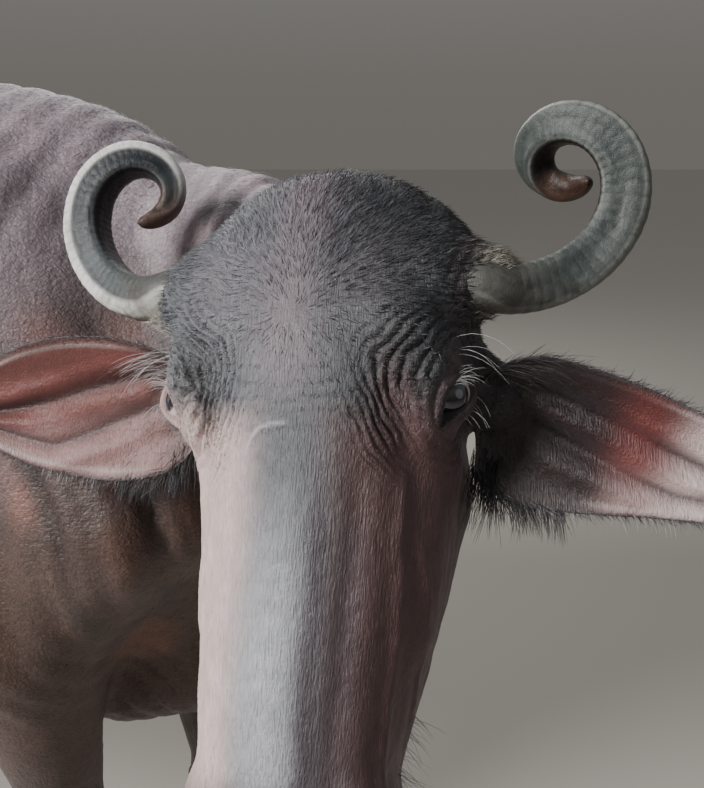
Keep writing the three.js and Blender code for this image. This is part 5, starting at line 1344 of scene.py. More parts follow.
# ------------------------------------------------------------------ eyes
eye_mat, nt, bsdf = material("eye")
co = node(nt, "ShaderNodeTexCoord").outputs["Object"]
n1 = noise_node(nt, co, (0.0022, 0.0022, 0.0022), 3.0, 0.6)
f = maths(nt, "MULTIPLY_ADD", n1, 0.5)
f.node.inputs[2].default_value = 0.75
nt.links.new(tinted(nt, attr(nt, "tint", "Color"), f), bsdf.inputs["Base Color"])
rr = maths(nt, "MULTIPLY_ADD", n1, 0.06)
rr.node.inputs[2].default_value = 0.03
nt.links.new(rr, bsdf.inputs["Roughness"])
bsdf.inputs["Coat Weight"].default_value = 1.0
bsdf.inputs["Coat Roughness"].default_value = 0.02
bsdf.inputs["Specular IOR Level"].default_value = 0.6
for side in (1, -1):
    k, mrows = 96, 72
    th = np.linspace(0.5, mrows - 0.5, mrows) / mrows * np.pi
    ph = np.linspace(0, 2 * np.pi, k, endpoint=False)
    TH, PH = np.meshgrid(th, ph, indexing="ij")
    GAZE, ea, eb = EYE_AXES[side]
    d = GAZE * np.cos(TH)[..., None] + ea * (np.sin(TH) * np.cos(PH))[..., None] + eb * (np.sin(TH) * np.sin(PH))[..., None]
    deg = np.degrees(TH)
    bulge = 0.0011 * (1 - smooth(34, 48, deg)) * np.cos(np.radians(np.minimum(deg * 2, 90)))
    rad = EYE_R - 0.0004 + bulge
    pts = EYE_AT + d * rad[..., None]
    pts[..., 0] *= side
    verts, loops, sizes = rings_to_mesh(from_head(pts.reshape(-1, 3)).reshape(mrows, k, 3))
    al = np.degrees(np.arcsin((d * ea).sum(-1))).ravel()
    ac = np.degrees(np.arcsin((d * eb).sum(-1))).ravel()
    dg_ = deg.ravel()
    look = al - (12.0 if side > 0 else -24.0)
    lift_ = ac - (10.0 if side > 0 else 2.0)
    iris = 1 - smooth(40, 44, np.hypot(look * 0.98, lift_ * (1.20 if side > 0 else 1.05)))
    col = np.broadcast_to(np.array([0.62, 0.52, 0.50]), (len(al), 3)).copy()
    veins = smooth(0.15, 0.6, fractal(np.stack([al, ac * 0.3, 0 * al], 1), 9.0, 95, 3))
    col = mixc(col, [0.42, 0.12, 0.10], 0.35 * veins)
    col = mixc(col, [0.55, 0.17, 0.11], 0.85 * smooth(36, 47, al))
    ic = np.array([0.010, 0.013, 0.026])
    col = mixc(col, ic, iris)
    ringw = np.exp(-((np.hypot(look, lift_) - 27) / 6.0) ** 2)
    col = mixc(col, [0.024, 0.022, 0.030], 0.5 * ringw * iris)
    pupil = 1 - smooth(0.9, 1.05, np.hypot(look / 19.0, lift_ / 9.0))
    col = mixc(col, [0.003, 0.003, 0.004], pupil)
    limb = np.exp(-((np.hypot(look * 0.98, lift_ * (1.20 if side > 0 else 1.05)) - 42) / 2.5) ** 2)
    col = mixc(col, [0.030, 0.022, 0.024], 0.8 * limb)
    col = np.vstack([col, col[:k].mean(0), col[-k:].mean(0)])
    name = "eye_left" if side > 0 else "eye_right"
    me = fast_mesh("new_" + name, verts + SHIFT, loops, sizes)
    add_color(me, "tint", col)
    shade_smooth(me)
    me.materials.append(eye_mat)
    ob = add_object("ball_" + name, me)
    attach(ob, "root")
    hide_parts(name)

# ------------------------------------------------------------------ claws and dewclaws
claw_mat, nt, bsdf = material("claw")
co = node(nt, "ShaderNodeTexCoord").outputs["Object"]
n1 = noise_node(nt, co, (0.010, 0.010, 0.0022), 4.0, 0.6)
n2 = noise_node(nt, co, (0.0010, 0.0010, 0.009), 3.0, 0.6)
f = maths(nt, "MULTIPLY_ADD", n1, 1.0)
f.node.inputs[2].default_value = 0.5
g = maths(nt, "MULTIPLY_ADD", n2, 0.6)
g.node.inputs[2].default_value = 0.7
nt.links.new(tinted(nt, attr(nt, "tint", "Color"), maths(nt, "MULTIPLY", f, g)), bsdf.inputs["Base Color"])
rr = maths(nt, "MULTIPLY_ADD", n1, 0.35)
rr.node.inputs[2].default_value = 0.35
nt.links.new(rr, bsdf.inputs["Roughness"])
nrm = bumped(nt, n1, 0.0012, 0.7)
nrm = bumped(nt, n2, 0.0004, 0.6, nrm)
nt.links.new(nrm, bsdf.inputs["Normal"])

CORONET, SLOPE, GAP = 0.062, 0.30, 0.0004
def foot_of(name):
    front, side, step = LEGS[name]
    k = 1 - CORONET / (0.80 if front else 0.86)
    return np.array([(0.480 if front else -0.606) + step * k, side * (0.166 if front else 0.160), CORONET])

def claw(name, side, seed):
    foot = foot_of(name)
    levels = np.array([[0, 1.0, 0.004], [0.012, 1.0, 0.003], [0.6, 0.93, -0.002], [1, 0.86, -0.010]])
    hs = np.concatenate([[0, 0.006, 0.012], np.linspace(0.03, 1, 30)])
    a = np.linspace(0, 2 * np.pi, 56, endpoint=False)
    rings = []
    for h in hs:
        scale = np.interp(h, levels[:, 0], levels[:, 1])
        shift = np.interp(h, levels[:, 0], levels[:, 2])
        cx, sy = np.cos(a), np.sin(a)
        l = 0.108 / 2 * scale
        w = 0.050 / 2 * (0.93 + 0.07 * scale)
        edge = 1 - 0.045 * math.exp(-(h / 0.010) ** 2)
        ringy = -0.0007 * (1 - float(ridged(np.array([h * 6.3 + 0.2 * seed]))[0])) * smooth(0.05, 0.12, h) - 0.0012 * float(bump_at(h, 0.985, 0.02))
        x = np.sign(cx) * np.power(np.abs(cx), 0.85) * (l * edge + ringy)
        toe = np.clip(x / l, -1, 1)
        wide = (w * edge + ringy) * (1 - 0.22 * np.maximum(0, toe) ** 2)
        y = 0.0035 + w + np.sign(sy) * np.power(np.abs(sy), 0.75) * wide - w * 0.16 * np.maximum(0, toe) ** 2
        # heel bulb: softer behind, dished wall in front
        px = foot[0] + 0.008 + x * 0.985 + shift * (1 + h)
        top = foot[2] - GAP + SLOPE * (px - foot[0])
        rings.append(np.stack([px, foot[1] + side * y, h * top], 1))
    rings = np.array(rings)
    return rings, hs

def dewclaw(name, side):
    front, lside, step = LEGS[name]
    foot = foot_of(name)
    z = 0.138
    back = (0.446 if front else -0.646) + step * (1 - z / (0.80 if front else 0.86))
    line = np.array([[back - 0.020, foot[1] + side * 0.020, z + 0.010], [back - 0.044, foot[1] + side * 0.024, z - 0.004], [back - 0.054, foot[1] + side * 0.025, z - 0.022]])
    rad = np.array([0.015, 0.0145, 0.006]) * 0.96
    t = np.linspace(0, 2, 26)
    c = np.stack([np.interp(t, [0, 1, 2], line[:, k]) for k in range(3)], 1)
    c[1:-1] = (c[:-2] + 2 * c[1:-1] + c[2:]) / 4
    r = np.interp(t, [0, 0.6, 1, 1.5, 2], [rad[0], rad[0], rad[1], 0.0115, rad[2] * 0.8]) * (1 - 0.035 * (1 - ridged(t * 4)))
    tan = rows_unit(np.gradient(c, axis=0))
    x = rows_unit(np.cross(np.array([0, 1.0, 0]), tan))
    y = np.cross(tan, x)
    a = np.linspace(0, 2 * np.pi, 28, endpoint=False)
    return c[:, None] + x[:, None] * (r[:, None] * np.cos(a))[..., None] + y[:, None] * (r[:, None] * np.sin(a))[..., None]

for li, name in enumerate(LEGS):
    for side in (1, -1):
        which = "outer" if side * LEGS[name][1] > 0 else "inner"
        rings, hs = claw(name, side, li + (side > 0))
        for kind, rg in (("claw", rings), ("dewclaw", dewclaw(name, side))):
            verts, loops, sizes = rings_to_mesh(rg)
            me = fast_mesh(kind, verts + SHIFT, loops, sizes)
            zz = verts[:, 2]
            c = np.broadcast_to(np.array([0.052, 0.044, 0.040]), (len(verts), 3)).copy()
            c = mixc(c, [0.125, 0.100, 0.082], 0.6 * smooth(0.0, 0.5, fractal(verts, 0.016, 97 + li, 3)))
            if kind == "claw":
                c = mixc(c, [0.15, 0.115, 0.09], 0.7 * (1 - smooth(0.002, 0.012, zz)))
                c = mixc(c, [0.030, 0.024, 0.022], 0.7 * smooth(0.9, 1.0, zz / (CORONET + SLOPE * (verts[:, 0] - foot_of(name)[0]))))
            add_color(me, "tint", c)
            shade_smooth(me)
            me.materials.append(claw_mat)
            ob = add_object("fine_%s_%s_%s" % (kind, name, which), me)
            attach(ob, "root")
            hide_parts("%s_%s_%s" % (kind, name, which))
stamp("horns, eyes and claws")

skin.transform(Matrix.Translation(SHIFT.tolist()))
ob = skin_ob
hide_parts("head", "neck", "trunk", "tail", "udder", "foreleg_left", "foreleg_right", "hindleg_left", "hindleg_right", "ear_left", "ear_right")
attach(ob, "root")
shade_smooth(skin)

# ------------------------------------------------------------------ the coat: closed, tapering tufts of short hair
sv = coords(skin)
sn = normals(skin)
skin.calc_loop_triangles()
tv = np.empty(len(skin.loop_triangles) * 3, np.int32)
skin.loop_triangles.foreach_get("vertices", tv)
tv = tv.reshape(-1, 3)
p0, p1, p2 = sv[tv[:, 0]], sv[tv[:, 1]], sv[tv[:, 2]]
tri_n = np.cross(p1 - p0, p2 - p0)
tri_a = np.sqrt((tri_n ** 2).sum(1)) / 2
tri_c = (p0 + p1 + p2) / 3 - SHIFT
sv_par, sv_ear, sv_hm, sv_tint = par, earness, hm, tint

def tangent(d, n):
    d = d - n * (d * n).sum(1)[:, None]
    return rows_unit(d)

def head_dirs(d):
    return d @ HM

def lie(p, n, hmask, epar, ear, legs):
    """Which way the hair lies, along the skin."""
    bx, by, bz = p.T
    d = np.stack([-np.ones(len(p)), 0 * bx, -0.45 - 0.5 * smooth(0.35, 0.50, bx)], 1)
    d[:, 1] += 0.25 * np.sign(by) * smooth(1.20, 1.30, bz)
    down = np.stack([0 * bx - 0.15, 0 * bx, -np.ones(len(p))], 1)
    d = d * (1 - legs)[:, None] + down * legs[:, None]
    tail = smooth(-0.80, -0.83, bx) * (bz > 0.45)
    d = d * (1 - tail)[:, None] + np.array([0, 0, -1.0]) * tail[:, None]
    q, m, side = head_frame(p)
    X, y, z = m.T
    hx = q[:, 0] * 1.0
    hz = (z + 0.045) * 1.0
    hd = np.stack([hx * 1.2, -0.35 * np.hypot(hx, hz) - 0.004, hz], 1)
    low = smooth(-0.07, -0.12, y)
    hd = rows_unit(hd)
    cheek = np.stack([0 * X, -0.75 + 0 * X, -0.55 + 0 * X], 1)
    hd = hd * (1 - low)[:, None] + cheek * low[:, None]
    r, along, across, front = lid_angles(m, side)
    nearby = (1 - smooth(0.045, 0.080, r))
    away = m - EYE_AT
    away[:, 0] *= side
    hd = hd * (1 - 0.6 * nearby)[:, None] + rows_unit(away) * (0.6 * nearby)[:, None]
    hd = head_dirs(hd)
    d = rows_unit(d) * (1 - hmask)[:, None] + hd * hmask[:, None]
    if ear.any():
        es = np.stack([side, 0 * X, 0.15 + 0.9 * epar[:, 1]], 1)
        d = d * (1 - ear)[:, None] + head_dirs(rows_unit(es)) * ear[:, None]
    return tangent(d, n)

def atlas(p, hmask, ear, epar, legs):
    """Where a root lies on a flat unwrap of the skin: strips for head, body, legs and ears."""
    q, m, side = head_frame(p)
    a = np.arctan2(q[:, 0], q[:, 1] + 0.11) / (2 * np.pi) + 0.5
    hu, hv = 0.02 + 0.42 * a, 0.54 + 0.44 * np.clip((q[:, 2] + 0.25) / 0.62, 0, 1)
    a = np.arctan2(p[:, 1], p[:, 2] - 0.95) / (2 * np.pi) + 0.5
    bu, bv = 0.02 + 0.60 * np.clip((p[:, 0] + 0.95) / 1.75, 0, 1), 0.02 + 0.46 * a
    leg = (p[:, 1] > 0).astype(int) + 2 * (p[:, 0] > 0)
    cx = np.choose(leg, [-0.66, -0.62, 0.44, 0.53])
    a = np.arctan2(p[:, 1] - np.where(p[:, 1] > 0, 0.165, -0.165), p[:, 0] - cx) / (2 * np.pi) + 0.5
    lu, lv = 0.66 + 0.08 * leg + 0.07 * a, 0.02 + 0.46 * np.clip(p[:, 2] / 0.75, 0, 1)
    eu = 0.48 + 0.24 * np.clip(epar[:, 0], 0, 1) + 0.26 * (side > 0)
    evv = 0.54 + 0.20 * (epar[:, 1] + 1) / 2 + 0.22 * (epar[:, 2] < 0)
    u = np.where(ear > 0.5, eu, np.where(hmask > 0.5, hu, np.where(legs > 0.5, lu, bu)))
    w = np.where(ear > 0.5, evv, np.where(hmask > 0.5, hv, np.where(legs > 0.5, lv, bv)))
    return np.clip(u, 0.003, 0.993), np.clip(w, 0.003, 0.993)

def scatter(density, seed, choose=None):
    """Random roots on the skin: density is per square metre, one number for each triangle."""
    rng = np.random.default_rng(seed)
    want = tri_a * density
    cum = np.cumsum(want)
    total = int(cum[-1])
    at = (np.arange(total) + rng.random(total)) * cum[-1] / max(total, 1)
    f = np.minimum(np.searchsorted(cum, at), len(tri_a) - 1)
    r1, r2 = rng.random(total), rng.random(total)
    s1 = np.sqrt(r1)
    w0, w1, w2 = 1 - s1, s1 * (1 - r2), s1 * r2
    tri = tv[f]
    get = lambda arr: arr[tri[:, 0]] * (w0[:, None] if arr.ndim > 1 else w0) + arr[tri[:, 1]] * (w1[:, None] if arr.ndim > 1 else w1) + arr[tri[:, 2]] * (w2[:, None] if arr.ndim > 1 else w2)
    ep = sv_par[tri[:, 0]]
    return dict(p=get(sv) - SHIFT, n=rows_unit(get(sn)), hm=get(sv_hm), ear=get(sv_ear), ep=ep, tint=get(sv_tint), rng=rng, count=total)

def tufts(name, roots, length, width, lift, shade, spread=0.25, rows=2, sides=3, bend=0.5, dirs=None, sink=0.0010, clump=0.0):
    """One closed spike a root: rows rings of `sides` points and a tip."""
    n = roots["n"]
    p = roots["p"]
    c = len(p)
    if c == 0:
        return
    rng = roots["rng"]
    legs = 1 - smooth(0.45, 0.72, p[:, 2])
    d = dirs if dirs is not None else lie(p, n, roots["hm"], roots["ep"], roots["ear"], legs)
    side = np.cross(n, d)
    ang = rng.normal(0, spread, c)
    if clump:
        ang = ang + clump * noise(p, 0.020, 131)
    d = rows_unit(d * np.cos(ang)[:, None] + side * np.sin(ang)[:, None])
    lf = lift * (0.6 + 0.8 * rng.random(c))
    start = rows_unit(d * np.cos(lf)[:, None] + n * np.sin(lf)[:, None])
    ln = length * (0.65 + 0.7 * rng.random(c))
    wd = width * (0.75 + 0.5 * rng.random(c))
    x = rows_unit(np.cross(start, n))
    rings = []
    pos = p - n * sink
    cur = start.copy()
    steps = rows
    for k in range(rows):
        f = k / rows
        y = rows_unit(np.cross(cur, x))
        w = wd * (1 - 0.62 * f ** 1.2)
        ring = []
        for j in range(sides):
            a = 2 * np.pi * j / sides + 0.5
            ring.append(pos + (x * math.cos(a) + y * math.sin(a) * 0.62) * w[:, None])
        rings.append(np.stack(ring, 1))
        pos = pos + cur * (ln / steps)[:, None]
        cur = rows_unit(cur + (d - n * 0.10 - cur) * bend)
    verts = np.concatenate([np.concatenate(rings, 1), pos[:, None]], 1)     # c, rows*sides+1, 3
    nvt = rows * sides + 1
    faces = [list(range(sides))[::-1]]
    for k in range(rows - 1):
        for j in range(sides):
            a, b = k * sides + j, k * sides + (j + 1) % sides
            faces.append([a, b, b + sides, a + sides])
    for j in range(sides):
        faces.append([(rows - 1) * sides + j, (rows - 1) * sides + (j + 1) % sides, nvt - 1])
    flat = np.concatenate([np.array(f) for f in faces])
    # the outward order, tested on the first tuft
    t0 = verts[0] - verts[0].mean(0)
    vol = 0
    for f in faces:
        for k in range(1, len(f) - 1):
            vol += np.dot(t0[f[0]], np.cross(t0[f[k]], t0[f[k + 1]]))
    if vol < 0:
        faces = [f[::-1] for f in faces]
        flat = np.concatenate([np.array(f) for f in faces])
    fs = np.array([len(f) for f in faces])
    tris = int((fs - 2).sum())
    per = max(1, 190000 // tris)
    u, w = atlas(p, roots["hm"], roots["ear"], roots["ep"], legs)
    tone = shade
    along = np.concatenate([np.repeat(np.arange(rows) / rows, sides), [1.0]])
    around = np.concatenate([np.tile(np.arange(sides) / sides, rows), [0.5]])
    for part_no, s0 in enumerate(range(0, c, per)):
        sl = slice(s0, min(c, s0 + per))
        m_ = sl.stop - sl.start
        vv = verts[sl].reshape(-1, 3) + SHIFT
        loops = (flat[None] + (np.arange(m_) * nvt)[:, None]).ravel()
        sizes = np.tile(fs, m_)
        nm = "%s_%d" % (name, part_no + 1)
        me = fast_mesh(nm, vv, loops, sizes)
        col = tone[sl][:, None, :] * (0.72 + 0.55 * along)[None, :, None]
        add_color(me, "tint", np.clip(col.reshape(-1, 3), 0.003, 0.95))
        uvl = me.uv_layers.new(name="OFBake")
        uu = (u[sl][:, None] + 0.003 * around[None]).ravel()
        ww = (w[sl][:, None] + 0.003 * along[None]).ravel()
        buf = np.empty((len(loops), 2), np.float32)
        buf[:, 0], buf[:, 1] = uu[loops], ww[loops]
        uvl.data.foreach_set("uv", buf.ravel())
        shade_smooth(me)
        me.materials.append(coat_mat)
        ob = add_object(nm, me)
        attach(ob, "root")
    return c * tris

q, m, side_ = head_frame(tri_c)
hmt = sv_hm[tv].mean(1)
eart = sv_ear[tv].mean(1)
part_t = eart > 0.52
r_eye = np.sqrt(((m - EYE_AT) ** 2).sum(1))
hornr = np.sqrt(((m - np.array([0.142, -0.056, -0.091])) ** 2).sum(1))
X, y, z = m.T
ym_ = -0.121 - (0.345 - z) * 0.10
total_tris = 0

# forehead, poll and brow
d = 150000 * hmt * (1 - part_t) * (1 - smooth(0.03, 0.12, z)) * smooth(0.026, 0.034, r_eye) * smooth(-0.14, -0.09, y)
d += 120000 * hmt * (1 - part_t) * smooth(0.03, 0.12, z) * (1 - smooth(0.285, 0.31, z)) * smooth(-0.14, -0.09, y) * smooth(0.026, 0.034, r_eye)
d += 45000 * hmt * (1 - part_t) * (1 - smooth(-0.14, -0.09, y)) * (1 - smooth(0.29, 0.32, z))
roots = scatter(d, 7)
rq, rm, rs = head_frame(roots["p"])
g = roots["rng"].random(roots["count"])
# pale hairs everywhere, with more on the upper forehead of the animal's right as a painted highlight
lit_side_pale = 0.07 * (rs < 0) * (1 - smooth(-0.02, 0.04, rm[:, 2])) * smooth(0.02, 0.06, rm[:, 0])
pale_hair_and_highlight = g > 0.91 - lit_side_pale
tone = roots["tint"] * (0.60 + 0.95 * roots["rng"].random(roots["count"]))[:, None]
tone[pale_hair_and_highlight] = tone[pale_hair_and_highlight] * 1.1 + np.array([0.13, 0.135, 0.15])
poll = 1 - smooth(-0.12, 0.02, rm[:, 2])
snout = smooth(0.02, 0.08, rm[:, 2])
length = 0.0070 + 0.0065 * poll - 0.0018 * snout
total_tris += tufts("coat_head", roots, length, 0.00040 - 0.00008 * snout, 0.16 + 0.10 * poll - 0.04 * snout, tone, 0.20, clump=0.5)
stamp("head coat %d" % total_tris)

# body
bx, by, bz = tri_c.T
legs_t = 1 - smooth(0.45, 0.72, bz)
top = smooth(1.18, 1.30, bz)
d = (1 - hmt) * (1 - part_t) * (10500 + 9000 * smooth(0.35, 0.50, bx) + 6000 * legs_t + 3000 * top) * smooth(0.02, 0.06, bz)
roots = scatter(d, 8)
tone = roots["tint"] * (0.85 + 0.45 * roots["rng"].random(roots["count"]))[:, None]
rusty = roots["rng"].random(roots["count"]) > 0.88
tone[rusty] = tone[rusty] * np.array([1.25, 1.02, 0.92])
pz = roots["p"][:, 2]
length = 0.013 + 0.003 * smooth(1.15, 1.3, pz) - 0.004 * (1 - smooth(0.3, 0.6, pz))
total_tris += tufts("coat_body", roots, length, 0.00034, 0.12, tone, 0.14, clump=0.25)
stamp("body coat %d" % total_tris)

# ears: short down on both faces, longer hair on the rims and inside the root
ep_t = sv_par[tv[:, 0]]
rimt = smooth(0.84, 0.93, np.abs(ep_t[:, 1])) * part_t
d = part_t * (26000 + 0 * bx) + 52000 * rimt + 40000 * part_t * (1 - smooth(0.08, 0.28, ep_t[:, 0])) * (ep_t[:, 2] > 0)
roots = scatter(d, 9)
ep = roots["ep"]
rimr = smooth(0.84, 0.95, np.abs(ep[:, 1]))
tone = roots["tint"] * (0.8 + 0.7 * roots["rng"].random(roots["count"]))[:, None]
tone = mixc(tone, [0.055, 0.048, 0.052], 0.70 * rimr)
pale = roots["rng"].random(roots["count"]) > 0.90
tone[pale] = tone[pale] * 0.5 + np.array([0.20, 0.185, 0.18])
length = 0.006 + 0.004 * rimr + 0.006 * (1 - smooth(0.08, 0.25, ep[:, 0]))
length = length + 0.014 * rimr * smooth(0.2, 0.5, ep[:, 1]) * (1 - smooth(0.15, 0.36, ep[:, 0]))
total_tris += tufts("coat_ear", roots, length, 0.00030, 0.14 + 0.22 * rimr, tone, 0.30)
stamp("ear coat %d" % total_tris)

# cuffs of hair round the horns
d = 150000 * hmt * (1 - part_t) * (1 - smooth(0.034, 0.046, hornr))
roots = scatter(d, 10)
tone = roots["tint"] * 0.5 + np.array([0.16, 0.15, 0.14]) * (0.4 + roots["rng"].random(roots["count"]))[:, None]
total_tris += tufts("coat_horn_cuff", roots, 0.011, 0.00045, 0.35, tone, 0.45)
stamp("coat %d" % total_tris)

# long pale feelers: over and under the eyes, on the lips and chin
def strand(name, roots, dirs, length, width, droop, tone, segs=7, sides=3):
    p, n, rng = roots["p"], roots["n"], roots["rng"]
    c = len(p)
    ln = length * (0.6 + 0.6 * rng.random(c))
    pos = p - n * 0.0015
    cur = rows_unit(dirs)
    curve = rows_unit(rng.normal(0, 1, (c, 3)))
    rings = []
    for k in range(segs):
        f = k / segs
        x = rows_unit(np.cross(cur, np.array([0.31, 0.22, 0.93])))
        y = np.cross(cur, x)
        w = width * (1 - 0.75 * f)
        rings.append(np.stack([pos + (x * math.cos(2 * np.pi * j / sides) + y * math.sin(2 * np.pi * j / sides)) * w for j in range(sides)], 1))
        pos = pos + cur * (ln / segs)[:, None]
        cur = rows_unit(cur + np.array([0, 0, -1.0]) * droop / segs + curve * 0.10 / segs * 3)
    verts = np.concatenate([np.concatenate(rings, 1), pos[:, None]], 1)
    nvt = segs * sides + 1
    faces = [list(range(sides))[::-1]]
    for k in range(segs - 1):
        for j in range(sides):
            a, b = k * sides + j, k * sides + (j + 1) % sides
            faces.append([a, b, b + sides, a + sides])
    for j in range(sides):
        faces.append([(segs - 1) * sides + j, (segs - 1) * sides + (j + 1) % sides, nvt - 1])
    t0 = verts[0] - verts[0].mean(0)
    vol = sum(np.dot(t0[f[0]], np.cross(t0[f[k]], t0[f[k + 1]])) for f in faces for k in range(1, len(f) - 1))
    if vol < 0:
        faces = [f[::-1] for f in faces]
    flat = np.concatenate([np.array(f) for f in faces])
    fs = np.array([len(f) for f in faces])
    legs = 1 - smooth(0.45, 0.72, p[:, 2])
    u, w = atlas(p, roots["hm"], roots["ear"], roots["ep"], legs)
    along = np.concatenate([np.repeat(np.arange(segs) / segs, sides), [1.0]])
    around = np.concatenate([np.tile(np.arange(sides) / sides, segs), [0.5]])
    loops = (flat[None] + (np.arange(c) * nvt)[:, None]).ravel()
    me = fast_mesh(name, verts.reshape(-1, 3) + SHIFT, loops, np.tile(fs, c))
    add_color(me, "tint", (tone[:, None, :] * (0.8 + 0.3 * along)[None, :, None]).reshape(-1, 3))
    uvl = me.uv_layers.new(name="OFBake")
    uu = (u[:, None] + 0.003 * around[None]).ravel()
    ww = (w[:, None] + 0.003 * along[None]).ravel()
    buf = np.empty((len(loops), 2), np.float32)
    buf[:, 0], buf[:, 1] = uu[loops], ww[loops]
    uvl.data.foreach_set("uv", buf.ravel())
    shade_smooth(me)
    me.materials.append(coat_mat)
    ob = add_object(name, me)
    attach(ob, "root")
    return len(loops)

def pick(points, seed, hmask=1.0):
    """Roots at the skin points nearest to the given ones."""
    rng = np.random.default_rng(seed)
    k = np.array([skin_tree.find(c)[1] for c in points])
    k = pick_ids[k]
    return dict(p=sv[k] - SHIFT, n=sn[k], hm=sv_hm[k], ear=sv_ear[k], ep=sv_par[k], tint=sv_tint[k], rng=rng, count=len(k))
mid_hd = to_head(sv - SHIFT)
pick_ids = np.where((mid_hd[:, 2] > -0.15) & (sv_ear < 0.3) & (sv_hm > 0.5))[0]
skin_tree = tree_of(sv[pick_ids] - SHIFT)
rng = np.random.default_rng(77)
for side in (1, -1):
    GAZE, SLIT, BROW = EYE_AXES[side]
    # a few long feelers over the brow, lashes on the outer half of the upper lid, short ones below
    pts, dirs, lens = [], [], []
    out_, fore_, down_ = np.array([1.0, 0, 0]), np.array([0, 1.0, 0]), np.array([0, 0, 1.0])
    for k in range(5):
        dd = unit(np.array([rng.uniform(-0.35, 0.45), rng.uniform(0.35, 0.60), rng.uniform(-1.0, -0.75)]))
        pts.append(EYE_AT + dd * rng.uniform(0.030, 0.046))
        dirs.append(unit(out_ * 0.9 + fore_ * 0.42 + down_ * rng.uniform(-0.15, 0.25)) + rng.normal(0, 0.10, 3))
        lens.append(rng.uniform(0.055, 0.085))
    for k in range(15):
        al = rng.uniform(-54, 0)
        dd = GAZE * math.cos(math.radians(al)) + SLIT * math.sin(math.radians(al)) + BROW * math.sin(math.radians(31))
        pts.append(EYE_AT + unit(dd) * 0.0235)
        dirs.append(unit(GAZE * 0.55 - SLIT * rng.uniform(0.4, 0.9) + BROW * rng.uniform(-0.15, 0.15)) + rng.normal(0, 0.06, 3))
        lens.append(rng.uniform(0.014, 0.027))
    for k in range(8):
        al = rng.uniform(-50, 40)
        dd = GAZE * math.cos(math.radians(al)) + SLIT * math.sin(math.radians(al)) - BROW * math.sin(math.radians(rng.uniform(34, 75)))
        pts.append(EYE_AT + unit(dd) * 0.0250)
        dirs.append(unit(GAZE * 0.6 - BROW * 0.7) + rng.normal(0, 0.15, 3))
        lens.append(rng.uniform(0.008, 0.024))
    flip = np.array([side, 1, 1])
    roots = pick(from_head(np.array(pts) * flip), 31 + side)
    dirs = head_dirs(np.array(dirs) * flip)
    tone = np.full((len(pts), 3), 0.55) * (0.6 + 0.6 * rng.random(len(pts)))[:, None]
    strand("lashes_left" if side > 0 else "lashes_right", roots, dirs, np.array(lens), 0.00026, 1.5, tone)
    # lips and chin
    pts, dirs, lens = [], [], []
    for k in range(120):
        zz = rng.uniform(0.22, 0.345)
        a = rng.uniform(0.15, 1.0)
        pts.append([0.075 * a, rng.uniform(-0.150, -0.095), zz])
        dirs.append(unit([0.9 * a, -0.25, 0.35]) + rng.normal(0, 0.2, 3))
        lens.append(rng.uniform(0.015, 0.045))
    roots = pick(from_head(np.array(pts) * flip), 41 + side)
    tone = np.full((len(pts), 3), 0.30) * (0.3 + 1.2 * rng.random(len(pts)))[:, None]
    strand("whiskers_left" if side > 0 else "whiskers_right", roots, head_dirs(np.array(dirs) * flip), np.array(lens), 0.00028, 0.6, tone)

# long hair of the ears: from the root of the upper rim, hanging from the lower rim, and inside the cup
def ear_strands(name, side, u0, u1, v0, v1, fs, count, length, dirfun, seed, tone0, width=0.00030, droop=1.2):
    rng = np.random.default_rng(seed)
    uu, vv = rng.uniform(u0, u1, count), rng.uniform(v0, v1, count)
    pts = ear_point(side, uu, vv, np.full(count, float(fs)))
    pts[:, 0] *= side
    p = from_head(pts)
    n = rows_unit(head_dirs(np.tile(np.array([0.0, 0.86, 0.5]) * fs, (count, 1))))
    roots = dict(p=p, n=n, hm=np.ones(count), ear=np.ones(count), ep=np.stack([uu, vv, np.full(count, float(fs))], 1), tint=np.ones((count, 3)), rng=rng, count=count)
    d = dirfun(uu, vv, rng)
    d[:, 0] *= side
    tone = np.array(tone0) * (0.45 + 1.1 * rng.random(count))[:, None]
    strand(name, roots, head_dirs(d), length, width, droop, tone)
